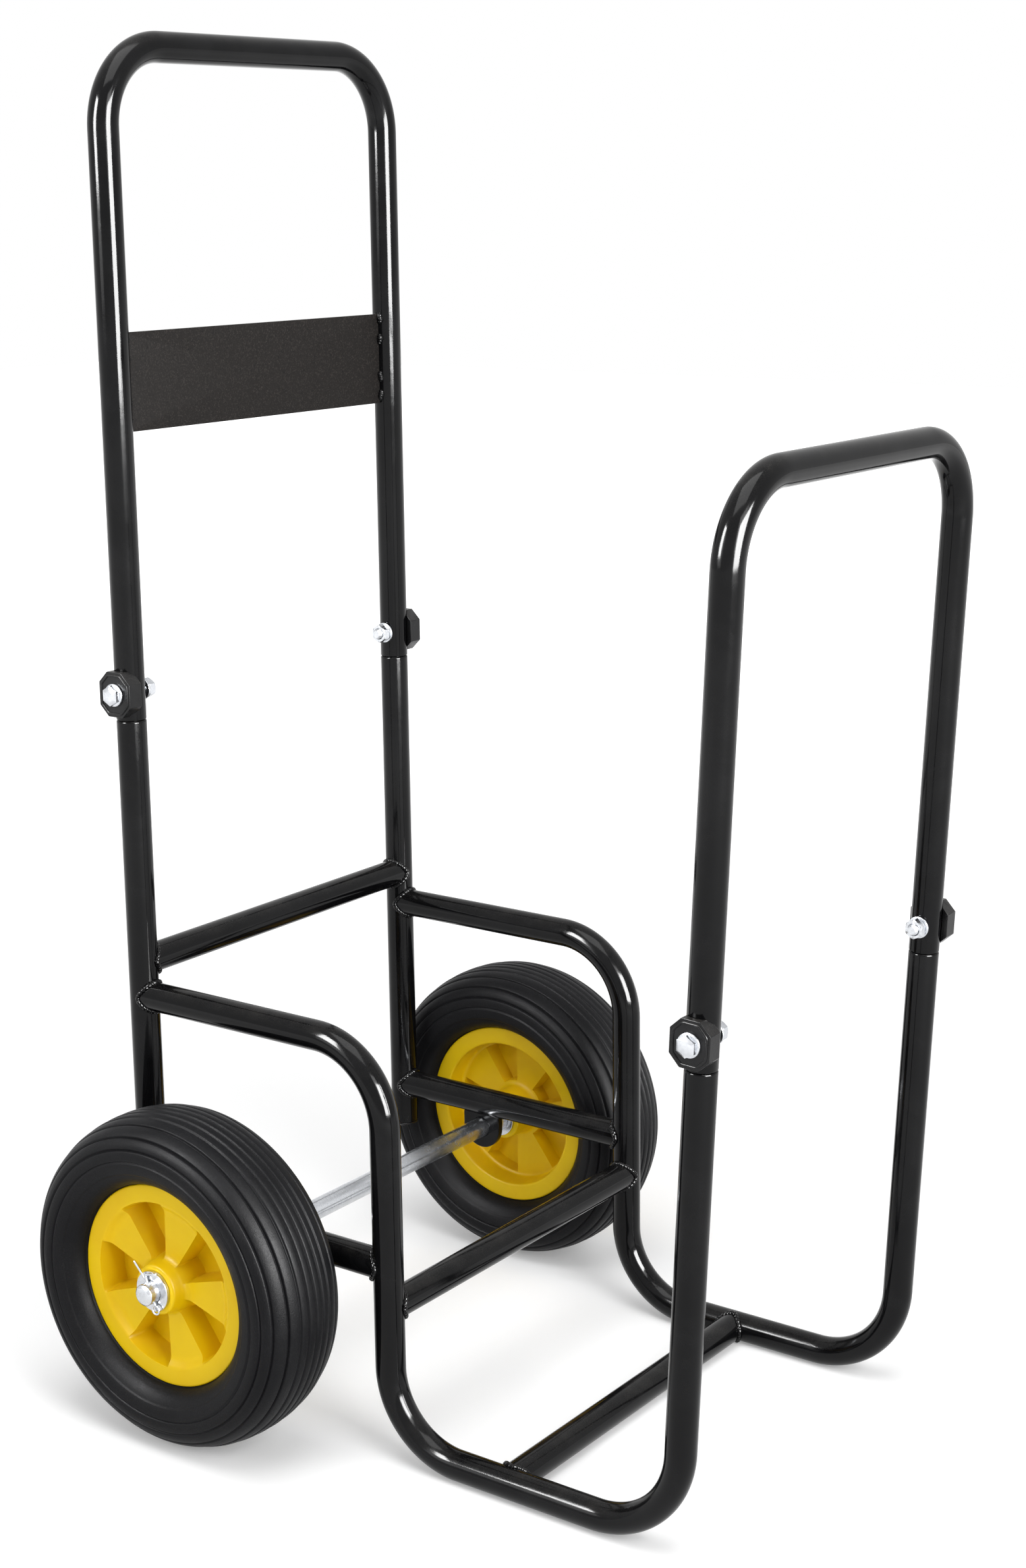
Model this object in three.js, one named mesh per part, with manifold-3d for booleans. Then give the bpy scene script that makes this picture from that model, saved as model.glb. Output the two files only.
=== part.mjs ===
// A two-wheeled log cart: bent round steel tube, bolted together at mid height, on two rubber-tyred wheels.
// Millimetres. +X runs along the axle, -Y is the front (short hoop), +Z is up, and z = 0 is the floor.
import * as THREE from 'three';
import { mergeVertices } from 'three/addons/utils/BufferGeometryUtils.js';
import Module from 'manifold-3d';

const wasm = await Module();
wasm.setup();

// ---------------------------------------------------------------- driving dimensions
const GAP = 0.3;                 // clearance between pieces that touch on the real cart

const TUBE_RADIUS = 11;          // 22 mm round tube
const TUBE_WALL = 1.5;
const TUBE_SIDES = 16;
const HOLE_SIDES = 12;           // facets of bolt holes and shanks
const ROUND_SIDES = 20;          // facets of the axle and what turns on it
const BEND_STEPS = 6;

const FRAME_WIDTH = 305;         // leg axis to leg axis, across the cart
const FRAME_DEPTH = 490;         // rear leg axis to front leg axis, measured at FRONT_DATUM_Z
const FRONT_DATUM_Z = 400;
const FRONT_LEAN = THREE.MathUtils.degToRad(3);

const HANDLE_HEIGHT = 1000;      // floor to the top of the rear hoop
const FRONT_HEIGHT = 731;        // floor to the top of the front hoop
const HOOP_BEND = 56;            // bend radius on the tube's axis
const REAR_JOINT_Z = 538;        // bolt height of the rear leg joints
const FRONT_JOINT_Z = 368;       // bolt height of the front leg joints
const SOCKET_BELOW_BOLT = 20;    // the upper tube ends this far under its bolt
const SPIGOT_ABOVE_BOLT = 25;    // the lower tube's reduced end reaches this far over the bolt
const SPIGOT_TAPER = 4;

const PLATE_TOP_Z = 794;
const PLATE_HEIGHT = 70;
const PLATE_THICKNESS = 2;

const FLOOR_BEND = 69;
const STEP_BEND = 60;            // the two bends of the step over the axle
const SHELF_Z = 308;             // axis of the raised rail
const RISER_SETBACK = 228;       // riser axis, in front of the rear leg axis
const FLOOR_CROSS_SETBACK = 70;  // floor cross tube, behind the end of the floor bend
const RISER_CROSS_Z = 116;
const SHELF_CROSS_RISE = 26;     // rear cross tube's axis over the raised rail's axis
const POST_TAIL = 34;            // rear post's end, under the axle rail's axis

const TYRE_RADIUS = 125;         // 250 mm wheel
const TYRE_WIDTH = 80;
const TYRE_WIDEST_RADIUS = 100;
const TYRE_ACROSS_POWER = 0.9;   // powers of the crown's sine and cosine: 1 and 1 make an ellipse
const TYRE_RISE_POWER = 0.8;
const TYRE_TREAD_ANGLE = 14;     // flat middle of the tread, in degrees to each side of the crown
const TYRE_GROOVES = [32, 52];   // degrees from the crown, on each shoulder
const TYRE_GROOVE_SPREAD = 2;    // half a groove's mouth, in degrees
const TYRE_GROOVE_DEPTH = 1.8;
const TYRE_SHOULDER_ANGLE = 70;
const TYRE_CHEEK_DROP = 11;      // foot of the cheek, nearer the axle than the widest point
const TYRE_CHEEK_INSET = 3.5;
const TYRE_BEAD_RISE = 5;        // where the flank turns in over the rim's edge
const TYRE_BEAD_INSET = 11;
const TYRE_BEAD_LIP = 1.5;
const WHEEL_SEGMENTS = 32;
const WHEEL_CLEARANCE = 5;       // between tyre and leg
const RIM_RADIUS = 76;
const RIM_HALF_WIDTH = 24;
const RIM_SEAT_RADIUS = 68;      // what the tyre sits on
const RIM_LIP = 3;
const RIM_RING_RADIUS = 62;      // inner edge of the flat outer ring
const RIM_FACE_DEPTH = 8;        // spokes' face, behind the ring
const RIM_WEB = 22;              // thickness of the disc at a spoke
const SPOKES = 5;
const POCKET_ANGLE = THREE.MathUtils.degToRad(37);
const POCKET_DEPTH = 14;
const POCKET_INNER_RADIUS = 24;
const POCKET_OUTER_RADIUS = 59;
const HUB_RADIUS = 19;
const HUB_PROUD = 8;             // hub end over the ring
const HUB_CHAMFER = 1;
const RIM_DRAFT = 1.5;           // slope of the moulded walls
const BUSH_WALL = 3;

const AXLE_RADIUS = 8;
const AXLE_TAIL = 8;             // axle end past the split pin
const AXLE_CHAMFER = 1.5;
const AXLE_AHEAD = 84;           // axle in front of the rear leg axis
const RUNNING_GAP = 0.35;        // radial, shaft to bore
const HANGER_NECK = 3;           // metal between axle hole and rail
const HANGER_THICKNESS = 6;
const HANGER_RADIUS = 18;
const WASHER_RADIUS = 15;
const WASHER_THICKNESS = 3;
const SPACER_WALL = 2;
const PIN_RADIUS = 1.6;
const PIN_LEG_RADIUS = 1.1;
const PIN_LEGS = [
  { length: 15, tilt: 0.5 },     // tilt in radians from the shank
  { length: 12, tilt: -1.2 },
];
const PIN_EYE_RADIUS = 3.2;
const PIN_OVERHANG = 2;          // shank past the axle's surface
const PIN_ROOT = 0.5;            // depth of the legs' and the eye's roots in the shank

const BOLT_RADIUS = 4;           // M8
const BOLT_FLANGE_RADIUS = 8.5;
const BOLT_FLANGE = 1.5;
const HEX_RADIUS = 7.5;          // across corners / 2
const BOLT_HEAD = 4.5;
const BOLT_ROOT = 1;             // shank's end, inside the head
const NUT_HEIGHT = 6.5;
const NUT_WASHER_RADIUS = 8;
const NUT_WASHER = 1.6;
const BOLT_TAIL = 3;             // thread past the nut
const SADDLE_WIDTH = 30;
const SADDLE_HEIGHT = 33;
const SADDLE_CORNER = 8;
const SADDLE_OVER_TUBE = 5;      // outer face over the tube's surface
const SADDLE_WRAP = 7;           // how far it reaches back over the tube
const PLUG_CAP = 3;
const PLUG_DEPTH = 14;

// ---------------------------------------------------------------- places worked out from them
const halfWidth = FRAME_WIDTH / 2;
const boreRadius = TUBE_RADIUS - TUBE_WALL;
const spigotRadius = boreRadius - GAP;
const coping = TUBE_RADIUS + GAP;
const rearY = FRAME_DEPTH / 2;
const frontY = (z) => -FRAME_DEPTH / 2 - (z - FRONT_DATUM_Z) * Math.tan(FRONT_LEAN);
const floorRailZ = TUBE_RADIUS;
const riserY = rearY - RISER_SETBACK;
const floorCrossY = frontY(floorRailZ) + FLOOR_BEND + FLOOR_CROSS_SETBACK;
const shelfCrossZ = SHELF_Z + SHELF_CROSS_RISE;
const axleY = rearY - AXLE_AHEAD;
const axleZ = TYRE_RADIUS;
const axleHole = AXLE_RADIUS + GAP;
const axleRailZ = axleZ + axleHole + HANGER_NECK + TUBE_RADIUS;
const wheelX = halfWidth + TUBE_RADIUS + WHEEL_CLEARANCE + TYRE_WIDTH / 2;
const hubHalf = RIM_HALF_WIDTH + HUB_PROUD;
const washerStart = hubHalf + GAP;
const pinOut = washerStart + WASHER_THICKNESS + GAP + PIN_RADIUS;
const axleHalfLength = wheelX + pinOut + AXLE_TAIL;
const bushRadius = AXLE_RADIUS + RUNNING_GAP + BUSH_WALL;
const spacerRadius = AXLE_RADIUS + GAP + SPACER_WALL;

// The origin lies on the floor, under the middle of the cart's length.
const reachRear = Math.max(axleY + TYRE_RADIUS, rearY + TUBE_RADIUS);
const reachFront = frontY(FRONT_HEIGHT - TUBE_RADIUS) - TUBE_RADIUS;
const originShift = -(reachRear + reachFront) / 2;

// ---------------------------------------------------------------- finishes
const finish = (name, color, roughness, metalness) =>
  new THREE.MeshStandardMaterial({ name, color, roughness, metalness });
const BLACK_GLOSS = finish('black_gloss_coat', 0x0b0b0c, 0.22, 0.0);
const BLACK_MATT = finish('black_matt_coat', 0x24211f, 0.7, 0.0);
const BLACK_PLASTIC = finish('black_plastic', 0x141415, 0.5, 0.0);
const YELLOW_PLASTIC = finish('yellow_plastic', 0xe8c400, 0.4, 0.0);
const RUBBER = finish('tyre_rubber', 0x1d1d20, 0.75, 0.0);
const ZINC = finish('zinc_plate', 0xb9bec2, 0.32, 1.0);
const NYLON = finish('bush_nylon', 0xd8d6cc, 0.5, 0.0);

// ---------------------------------------------------------------- solids: join, cut, place
const at = (x, y, z) => new THREE.Vector3(x, y, z);

function solidOf(geometry) {
  const bare = geometry.clone();
  bare.deleteAttribute('normal');
  bare.deleteAttribute('uv');
  const merged = mergeVertices(bare, 1e-4);
  const vertProperties = new Float32Array(merged.attributes.position.array);
  const triVerts = new Uint32Array(merged.index.array);
  return new wasm.Manifold(new wasm.Mesh({ numProp: 3, vertProperties, triVerts }));
}

function geometryOf(solid) {
  const mesh = solid.getMesh();
  const geometry = new THREE.BufferGeometry();
  geometry.setAttribute('position', new THREE.BufferAttribute(new Float32Array(mesh.vertProperties), 3));
  geometry.setIndex(new THREE.BufferAttribute(new Uint32Array(mesh.triVerts), 1));
  geometry.computeVertexNormals();
  return geometry;
}

function cut(geometry, ...tools) {
  return geometryOf(tools.reduce((rest, tool) => rest.subtract(solidOf(tool)), solidOf(geometry)));
}

function join(...pieces) {
  return geometryOf(pieces.map(solidOf).reduce((sum, piece) => sum.add(piece)));
}

// A bar of regular section along X, Y or Z, centred on a point.
function bar(axis, radius, length, centre = at(0, 0, 0), sides = TUBE_SIDES) {
  const geometry = new THREE.CylinderGeometry(radius, radius, length, sides);
  if (axis === 'x') geometry.rotateZ(-Math.PI / 2);
  if (axis === 'z') geometry.rotateX(Math.PI / 2);
  return geometry.translate(centre.x, centre.y, centre.z);
}

// A ring-shaped piece turned about X: profile points are [along x, radius], and close on themselves.
function turned(profile, segments) {
  const loop = [...profile, profile[0]].map(([along, radius]) => new THREE.Vector2(radius, along));
  const geometry = new THREE.LatheGeometry(loop, segments);
  geometry.rotateZ(-Math.PI / 2);
  return outward(geometry);
}

// Turns a closed surface's faces round if they point in.
function outward(geometry) {
  const bare = geometry.clone();
  bare.deleteAttribute('normal');
  bare.deleteAttribute('uv');
  const merged = mergeVertices(bare, 1e-4);
  const position = merged.attributes.position;
  const index = merged.index.array;
  const [a, b, c] = [at(0, 0, 0), at(0, 0, 0), at(0, 0, 0)];
  let volume = 0;
  for (let i = 0; i < index.length; i += 3) {
    a.fromBufferAttribute(position, index[i]);
    b.fromBufferAttribute(position, index[i + 1]);
    c.fromBufferAttribute(position, index[i + 2]);
    volume += a.dot(b.cross(c));
  }
  if (volume < 0) {
    for (let i = 0; i < index.length; i += 3) [index[i], index[i + 1]] = [index[i + 1], index[i]];
  }
  merged.computeVertexNormals();
  return merged;
}

// A washer, sleeve or bush along X.
function sleeve(start, end, outer, inner, sides = ROUND_SIDES) {
  return turned([[start, inner], [end, inner], [end, outer], [start, outer]], sides);
}

// ---------------------------------------------------------------- bent tube
// Stations along a tube's axis: straight runs between corners, with a round bend at each inner corner.
function bentAxis(corners, bends) {
  const first = corners[1].clone().sub(corners[0]).normalize();
  const stations = [{ point: corners[0].clone(), along: first }];
  for (let i = 1; i < corners.length - 1; i++) {
    const before = corners[i].clone().sub(corners[i - 1]).normalize();
    const after = corners[i + 1].clone().sub(corners[i]).normalize();
    const turn = before.angleTo(after);
    const radius = bends[i - 1];
    const inward = after.clone().addScaledVector(before, -before.dot(after)).normalize();
    const start = corners[i].clone().addScaledVector(before, -radius * Math.tan(turn / 2));
    const centre = start.clone().addScaledVector(inward, radius);
    for (let step = 0; step <= BEND_STEPS; step++) {
      const angle = (turn * step) / BEND_STEPS;
      const point = centre.clone()
        .addScaledVector(inward, -radius * Math.cos(angle))
        .addScaledVector(before, radius * Math.sin(angle));
      const along = before.clone().multiplyScalar(Math.cos(angle)).addScaledVector(inward, Math.sin(angle));
      stations.push({ point, along });
    }
  }
  const last = corners.at(-1).clone().sub(corners.at(-2)).normalize();
  stations.push({ point: corners.at(-1).clone(), along: last });
  return stations;
}

// Rings of points around the given stations, skinned one to the next and the last to the first.
function skin(stations, flatNormal) {
  const positions = [];
  for (const { point, along, radius } of stations) {
    const side = along.clone().cross(flatNormal).normalize();
    for (let k = 0; k < TUBE_SIDES; k++) {
      const angle = (2 * Math.PI * k) / TUBE_SIDES;
      const p = point.clone()
        .addScaledVector(flatNormal, radius * Math.cos(angle))
        .addScaledVector(side, radius * Math.sin(angle));
      positions.push(p.x, p.y, p.z);
    }
  }
  const index = [];
  for (let ring = 0; ring < stations.length; ring++) {
    const next = (ring + 1) % stations.length;
    for (let k = 0; k < TUBE_SIDES; k++) {
      const l = (k + 1) % TUBE_SIDES;
      const [a, b] = [ring * TUBE_SIDES + k, ring * TUBE_SIDES + l];
      const [c, d] = [next * TUBE_SIDES + k, next * TUBE_SIDES + l];
      index.push(a, b, d, a, d, c);
    }
  }
  const geometry = new THREE.BufferGeometry();
  geometry.setAttribute('position', new THREE.Float32BufferAttribute(positions, 3));
  geometry.setIndex(index);
  return outward(geometry);
}

// An open tube whose axis lies in one plane. With a spigot, its first stretch is swaged down to fit a socket.
function tube(corners, bends, flatNormal, spigotLength = 0) {
  const stations = bentAxis(corners, bends);
  const ring = (station, radius) => ({ ...station, radius });
  const [start, ...rest] = stations;
  const along = (distance) => ({
    point: start.point.clone().addScaledVector(start.along, distance), along: start.along,
  });
  const outer = rest.map((station) => ring(station, TUBE_RADIUS));
  const inner = rest.map((station) => ring(station, boreRadius));
  if (spigotLength > 0) {
    const shoulder = along(spigotLength);
    outer.unshift(ring(start, spigotRadius), ring(shoulder, spigotRadius), ring(shoulder, TUBE_RADIUS));
    inner.unshift(
      ring(start, spigotRadius - TUBE_WALL),
      ring(along(spigotLength + TUBE_WALL), spigotRadius - TUBE_WALL),
      ring(along(spigotLength + TUBE_WALL + SPIGOT_TAPER), boreRadius),
    );
  } else {
    outer.unshift(ring(start, TUBE_RADIUS));
    inner.unshift(ring(start, boreRadius));
  }
  return skin([...outer, ...inner.reverse()], flatNormal);
}

// ---------------------------------------------------------------- the parts
const cart = new THREE.Group();
cart.position.y = originShift;

function add(name, geometry, material, parent = cart) {
  const mesh = new THREE.Mesh(geometry, material);
  mesh.name = name;
  parent.add(mesh);
  return mesh;
}

const SIDES = [
  { side: 'left', sign: -1 },
  { side: 'right', sign: 1 },
];
const X_AXIS = at(1, 0, 0);
const boltHole = (x, y, z) => bar('x', BOLT_RADIUS + GAP, 4 * TUBE_RADIUS, at(x, y, z), HOLE_SIDES);
const uprightCutter = (x, y, z) => bar('z', coping, 6 * TUBE_RADIUS, at(x, y, z));

// The leaning line of the front legs, at a distance along it from the joint's bolt.
const leanUp = at(0, -Math.sin(FRONT_LEAN), Math.cos(FRONT_LEAN));
const frontLeg = (sign, fromBolt) =>
  at(sign * halfWidth, frontY(FRONT_JOINT_Z), FRONT_JOINT_Z).addScaledVector(leanUp, fromBolt);
const rearLeg = (sign, fromBolt) => at(sign * halfWidth, rearY, REAR_JOINT_Z + fromBolt);

// Rear hoop: two legs and the handle bar, one bent tube, drilled for the joint bolts.
function handleHoop() {
  const top = HANDLE_HEIGHT - TUBE_RADIUS;
  const corners = [
    rearLeg(-1, -SOCKET_BELOW_BOLT), at(-halfWidth, rearY, top), at(halfWidth, rearY, top),
    rearLeg(1, -SOCKET_BELOW_BOLT),
  ];
  const hoop = tube(corners, [HOOP_BEND, HOOP_BEND], at(0, 1, 0));
  return cut(hoop, ...SIDES.map(({ sign }) => boltHole(sign * halfWidth, rearY, REAR_JOINT_Z)));
}

// Front hoop: the same, lower and leaning forward.
function frontHoop() {
  const top = FRONT_HEIGHT - TUBE_RADIUS;
  const y = frontY(top);
  const corners = [
    frontLeg(-1, -SOCKET_BELOW_BOLT), at(-halfWidth, y, top), at(halfWidth, y, top),
    frontLeg(1, -SOCKET_BELOW_BOLT),
  ];
  const hoop = tube(corners, [HOOP_BEND, HOOP_BEND], at(0, Math.cos(FRONT_LEAN), Math.sin(FRONT_LEAN)));
  const boltY = frontY(FRONT_JOINT_Z);
  return cut(hoop, ...SIDES.map(({ sign }) => boltHole(sign * halfWidth, boltY, FRONT_JOINT_Z)));
}

// Sheet welded between the rear hoop's legs.
function backPlate() {
  const width = FRAME_WIDTH - 2 * coping;
  const plate = new THREE.BoxGeometry(width, PLATE_THICKNESS, PLATE_HEIGHT);
  return plate.translate(0, rearY, PLATE_TOP_Z - PLATE_HEIGHT / 2);
}

const spigotLength = SPIGOT_ABOVE_BOLT + SOCKET_BELOW_BOLT + GAP;

// One side of the lower frame: front leg, floor rail, riser and raised rail, its end coped to the rear post.
function baseSide(sign) {
  const x = sign * halfWidth;
  const corners = [
    frontLeg(sign, SPIGOT_ABOVE_BOLT), at(x, frontY(floorRailZ), floorRailZ), at(x, riserY, floorRailZ),
    at(x, riserY, SHELF_Z), at(x, rearY, SHELF_Z),
  ];
  const side = tube(corners, [FLOOR_BEND, STEP_BEND, STEP_BEND], X_AXIS, spigotLength);
  return cut(side, boltHole(x, frontY(FRONT_JOINT_Z), FRONT_JOINT_Z), uprightCutter(x, rearY, SHELF_Z));
}

const postEndZ = axleRailZ - POST_TAIL;

// Lower rear leg, from its spigot in the rear hoop down past the axle rail.
function rearPost(sign) {
  const x = sign * halfWidth;
  const corners = [rearLeg(sign, SPIGOT_ABOVE_BOLT), at(x, rearY, postEndZ)];
  const post = tube(corners, [], X_AXIS, spigotLength);
  return cut(post, boltHole(x, rearY, REAR_JOINT_Z));
}

// Plug in the post's lower end.
function postPlug(sign) {
  const x = sign * halfWidth;
  const capZ = postEndZ - GAP - PLUG_CAP / 2;
  const stem = bar('z', boreRadius - GAP, PLUG_DEPTH, at(x, rearY, capZ + PLUG_DEPTH / 2));
  return join(bar('z', TUBE_RADIUS, PLUG_CAP, at(x, rearY, capZ)), stem);
}

// A straight tube along Y or X between two others, its ends coped to them.
function copedTube(from, to, flatNormal, ...cutters) {
  return cut(tube([from, to], [], flatNormal), ...cutters);
}

function axleRail(sign) {
  const x = sign * halfWidth;
  return copedTube(
    at(x, riserY, axleRailZ), at(x, rearY, axleRailZ), X_AXIS,
    uprightCutter(x, riserY, axleRailZ), uprightCutter(x, rearY, axleRailZ),
  );
}

function crossTube(y, z, cutterAt) {
  const cutters = SIDES.map(({ sign }) => cutterAt(sign * halfWidth));
  return copedTube(at(-halfWidth, y, z), at(halfWidth, y, z), at(0, 0, 1), ...cutters);
}

// Lug under the axle rail that the axle passes through: a flat plate with a round lower end.
function axleHanger(sign) {
  const outline = new THREE.Shape();
  outline.moveTo(HANGER_RADIUS, axleRailZ - axleZ);
  outline.lineTo(HANGER_RADIUS, 0);
  outline.absarc(0, 0, HANGER_RADIUS, 0, -Math.PI, true);
  outline.lineTo(-HANGER_RADIUS, axleRailZ - axleZ);
  const thickness = { depth: HANGER_THICKNESS, bevelEnabled: false, curveSegments: 10 };
  const plate = new THREE.ExtrudeGeometry(outline, thickness);
  plate.rotateX(Math.PI / 2).rotateZ(Math.PI / 2);
  plate.translate(sign * halfWidth - HANGER_THICKNESS / 2, axleY, axleZ);
  const railCutter = bar('y', coping, 4 * HANGER_RADIUS, at(sign * halfWidth, axleY, axleRailZ));
  const holeCentre = at(sign * halfWidth, axleY, axleZ);
  return cut(plate, railCutter, bar('x', axleHole, 4 * HANGER_THICKNESS, holeCentre, ROUND_SIDES));
}

// ---------------------------------------------------------------- axle and wheels
const axleGroup = new THREE.Group();
axleGroup.position.set(0, axleY, axleZ);
cart.add(axleGroup);

function axle() {
  const half = axleHalfLength;
  const endRadius = AXLE_RADIUS - AXLE_CHAMFER;
  const rod = turned([
    [-half, 0], [-half, endRadius], [AXLE_CHAMFER - half, AXLE_RADIUS],
    [half - AXLE_CHAMFER, AXLE_RADIUS], [half, endRadius], [half, 0],
  ], ROUND_SIDES);
  const pinHoles = SIDES.map(({ sign }) => {
    const centre = at(sign * (wheelX + pinOut), 0, 0);
    return bar('z', PIN_RADIUS + GAP, 4 * AXLE_RADIUS, centre, HOLE_SIDES);
  });
  return cut(rod, ...pinHoles);
}

// A wheel end, drawn with +X pointing outboard from the wheel's middle plane.
function wheelEnd(sign) {
  const end = new THREE.Group();
  end.position.x = sign * wheelX;
  end.rotation.z = sign < 0 ? Math.PI : 0;
  axleGroup.add(end);
  return end;
}

const faceAt = RIM_HALF_WIDTH - RIM_FACE_DEPTH;

// Moulded rim: hub, spoked disc and barrel with two lips, pockets cut between the spokes.
function rim() {
  const hubBore = bushRadius + GAP;
  const back = faceAt - RIM_WEB;
  const seatEdge = RIM_HALF_WIDTH - RIM_LIP;
  const seatSlope = (RIM_RADIUS - RIM_SEAT_RADIUS) / 2;
  const body = turned([
    [-hubHalf, hubBore], [hubHalf, hubBore], [hubHalf, HUB_RADIUS - HUB_CHAMFER],
    [hubHalf - HUB_CHAMFER, HUB_RADIUS],
    [faceAt, HUB_RADIUS + RIM_DRAFT], [faceAt, RIM_RING_RADIUS - RIM_DRAFT],
    [RIM_HALF_WIDTH, RIM_RING_RADIUS],
    [RIM_HALF_WIDTH, RIM_RADIUS], [seatEdge, RIM_RADIUS], [seatEdge - seatSlope, RIM_SEAT_RADIUS],
    [seatSlope - seatEdge, RIM_SEAT_RADIUS], [-seatEdge, RIM_RADIUS], [-RIM_HALF_WIDTH, RIM_RADIUS],
    [-RIM_HALF_WIDTH, RIM_RING_RADIUS], [back, RIM_RING_RADIUS - RIM_DRAFT], [back, HUB_RADIUS + RIM_DRAFT],
    [-hubHalf, HUB_RADIUS],
  ], WHEEL_SEGMENTS);
  const pocket = new THREE.Shape();
  pocket.absarc(0, 0, POCKET_OUTER_RADIUS, -POCKET_ANGLE / 2, POCKET_ANGLE / 2, false);
  pocket.absarc(0, 0, POCKET_INNER_RADIUS, POCKET_ANGLE / 2, -POCKET_ANGLE / 2, true);
  const pockets = Array.from({ length: SPOKES }, (_, i) => {
    const depth = 2 * POCKET_DEPTH;
    const tool = new THREE.ExtrudeGeometry(pocket, { depth, bevelEnabled: false, curveSegments: 4 });
    tool.rotateZ(Math.PI + (2 * Math.PI * i) / SPOKES);
    tool.rotateY(Math.PI / 2).rotateX(Math.PI / 2);
    return tool.translate(faceAt - POCKET_DEPTH, 0, 0);
  });
  return cut(body, ...pockets);
}

// Ribbed tyre: a round crown over the widest point, grooved on both shoulders, seated over the rim's lips.
function tyre() {
  const half = TYRE_WIDTH / 2;
  const crownRise = TYRE_RADIUS - TYRE_WIDEST_RADIUS;
  const crown = (degrees, sink = 0) => {
    const angle = THREE.MathUtils.degToRad(degrees);
    const across = Math.sign(degrees) * Math.abs(Math.sin(angle)) ** TYRE_ACROSS_POWER;
    const rise = Math.abs(Math.cos(angle)) ** TYRE_RISE_POWER;
    return [(half - sink) * across, TYRE_WIDEST_RADIUS + (crownRise - sink) * rise];
  };
  const shoulder = [];
  for (const groove of TYRE_GROOVES) {
    const [above, below] = [groove - TYRE_GROOVE_SPREAD, groove + TYRE_GROOVE_SPREAD];
    shoulder.push(crown(above), crown(groove, TYRE_GROOVE_DEPTH), crown(below));
  }
  const seatEdge = RIM_HALF_WIDTH - RIM_LIP;
  const seatSlope = (RIM_RADIUS - RIM_SEAT_RADIUS) / 2;
  const flank = [
    crown(TYRE_TREAD_ANGLE), ...shoulder, crown(TYRE_SHOULDER_ANGLE), crown(90),
    [half - TYRE_CHEEK_INSET, TYRE_WIDEST_RADIUS - TYRE_CHEEK_DROP],
    [half - TYRE_BEAD_INSET, RIM_RADIUS + TYRE_BEAD_RISE],
    [RIM_HALF_WIDTH + TYRE_BEAD_LIP, RIM_RADIUS + TYRE_BEAD_LIP],
    [RIM_HALF_WIDTH, RIM_RADIUS + GAP], [seatEdge - GAP, RIM_RADIUS + GAP],
    [seatEdge - seatSlope - GAP, RIM_SEAT_RADIUS + GAP],
  ];
  const mirrored = flank.map(([across, radius]) => [-across, radius]).reverse();
  return turned([crown(0), ...flank, ...mirrored], WHEEL_SEGMENTS);
}

// Split pin: shank through the axle, eye under it, two legs spread over it.
function splitPin() {
  const shankEnd = AXLE_RADIUS + PIN_OVERHANG;
  const shank = bar('z', PIN_RADIUS, 2 * shankEnd, at(0, 0, 0), HOLE_SIDES);
  const eye = new THREE.TorusGeometry(PIN_EYE_RADIUS, PIN_LEG_RADIUS, 6, 14);
  eye.rotateY(Math.PI / 2).translate(0, 0, PIN_ROOT - shankEnd - PIN_EYE_RADIUS);
  const legs = PIN_LEGS.map(({ length, tilt }) => {
    const prong = bar('z', PIN_LEG_RADIUS, length, at(0, 0, length / 2 - 2 * PIN_ROOT), 8);
    return prong.rotateX(tilt).translate(0, 0, shankEnd - PIN_ROOT);
  });
  return join(shank, eye, ...legs);
}

function buildWheelEnd(side, sign) {
  const end = wheelEnd(sign);
  const bore = AXLE_RADIUS + RUNNING_GAP;
  const loose = AXLE_RADIUS + GAP;
  const hangerOut = halfWidth + HANGER_THICKNESS / 2 - wheelX;
  add(`tyre_${side}`, tyre(), RUBBER, end);
  add(`rim_${side}`, rim(), YELLOW_PLASTIC, end);
  add(`hub_bush_${side}`, sleeve(-hubHalf, hubHalf, bushRadius, bore), NYLON, end);
  const washerEnd = washerStart + WASHER_THICKNESS;
  add(`outer_washer_${side}`, sleeve(washerStart, washerEnd, WASHER_RADIUS, loose), ZINC, end);
  add(`inner_washer_${side}`, sleeve(-washerEnd, -washerStart, WASHER_RADIUS, loose), ZINC, end);
  add(`wheel_spacer_${side}`, sleeve(hangerOut + GAP, -washerEnd - GAP, spacerRadius, loose), ZINC, end);
  const pin = add(`split_pin_${side}`, splitPin(), ZINC, end);
  pin.position.x = pinOut;
}

// ---------------------------------------------------------------- bolted leg joints
// Drawn with +X outboard and +Z up the leg, about the point where the bolt crosses the leg's axis.
function saddle() {
  const [w, h, c] = [SADDLE_WIDTH / 2, SADDLE_HEIGHT / 2, SADDLE_CORNER];
  const outline = new THREE.Shape([
    [w, -h + c], [w, h - c], [w - c, h], [c - w, h], [-w, h - c], [-w, -h + c], [c - w, -h], [w - c, -h],
  ].map(([y, z]) => new THREE.Vector2(y, z)));
  const depth = SADDLE_OVER_TUBE + SADDLE_WRAP;
  const block = new THREE.ExtrudeGeometry(outline, { depth, bevelEnabled: false });
  block.rotateX(Math.PI / 2).rotateZ(Math.PI / 2);
  block.translate(TUBE_RADIUS - SADDLE_WRAP, 0, 0);
  return cut(block, bar('z', coping, 2 * SADDLE_HEIGHT), boltHole(TUBE_RADIUS, 0, 0));
}

const headSeat = TUBE_RADIUS + SADDLE_OVER_TUBE + GAP;
const nutWasherAt = -TUBE_RADIUS - GAP;
const nutAt = nutWasherAt - NUT_WASHER - GAP;
const boltEnd = nutAt - NUT_HEIGHT - BOLT_TAIL;

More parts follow.
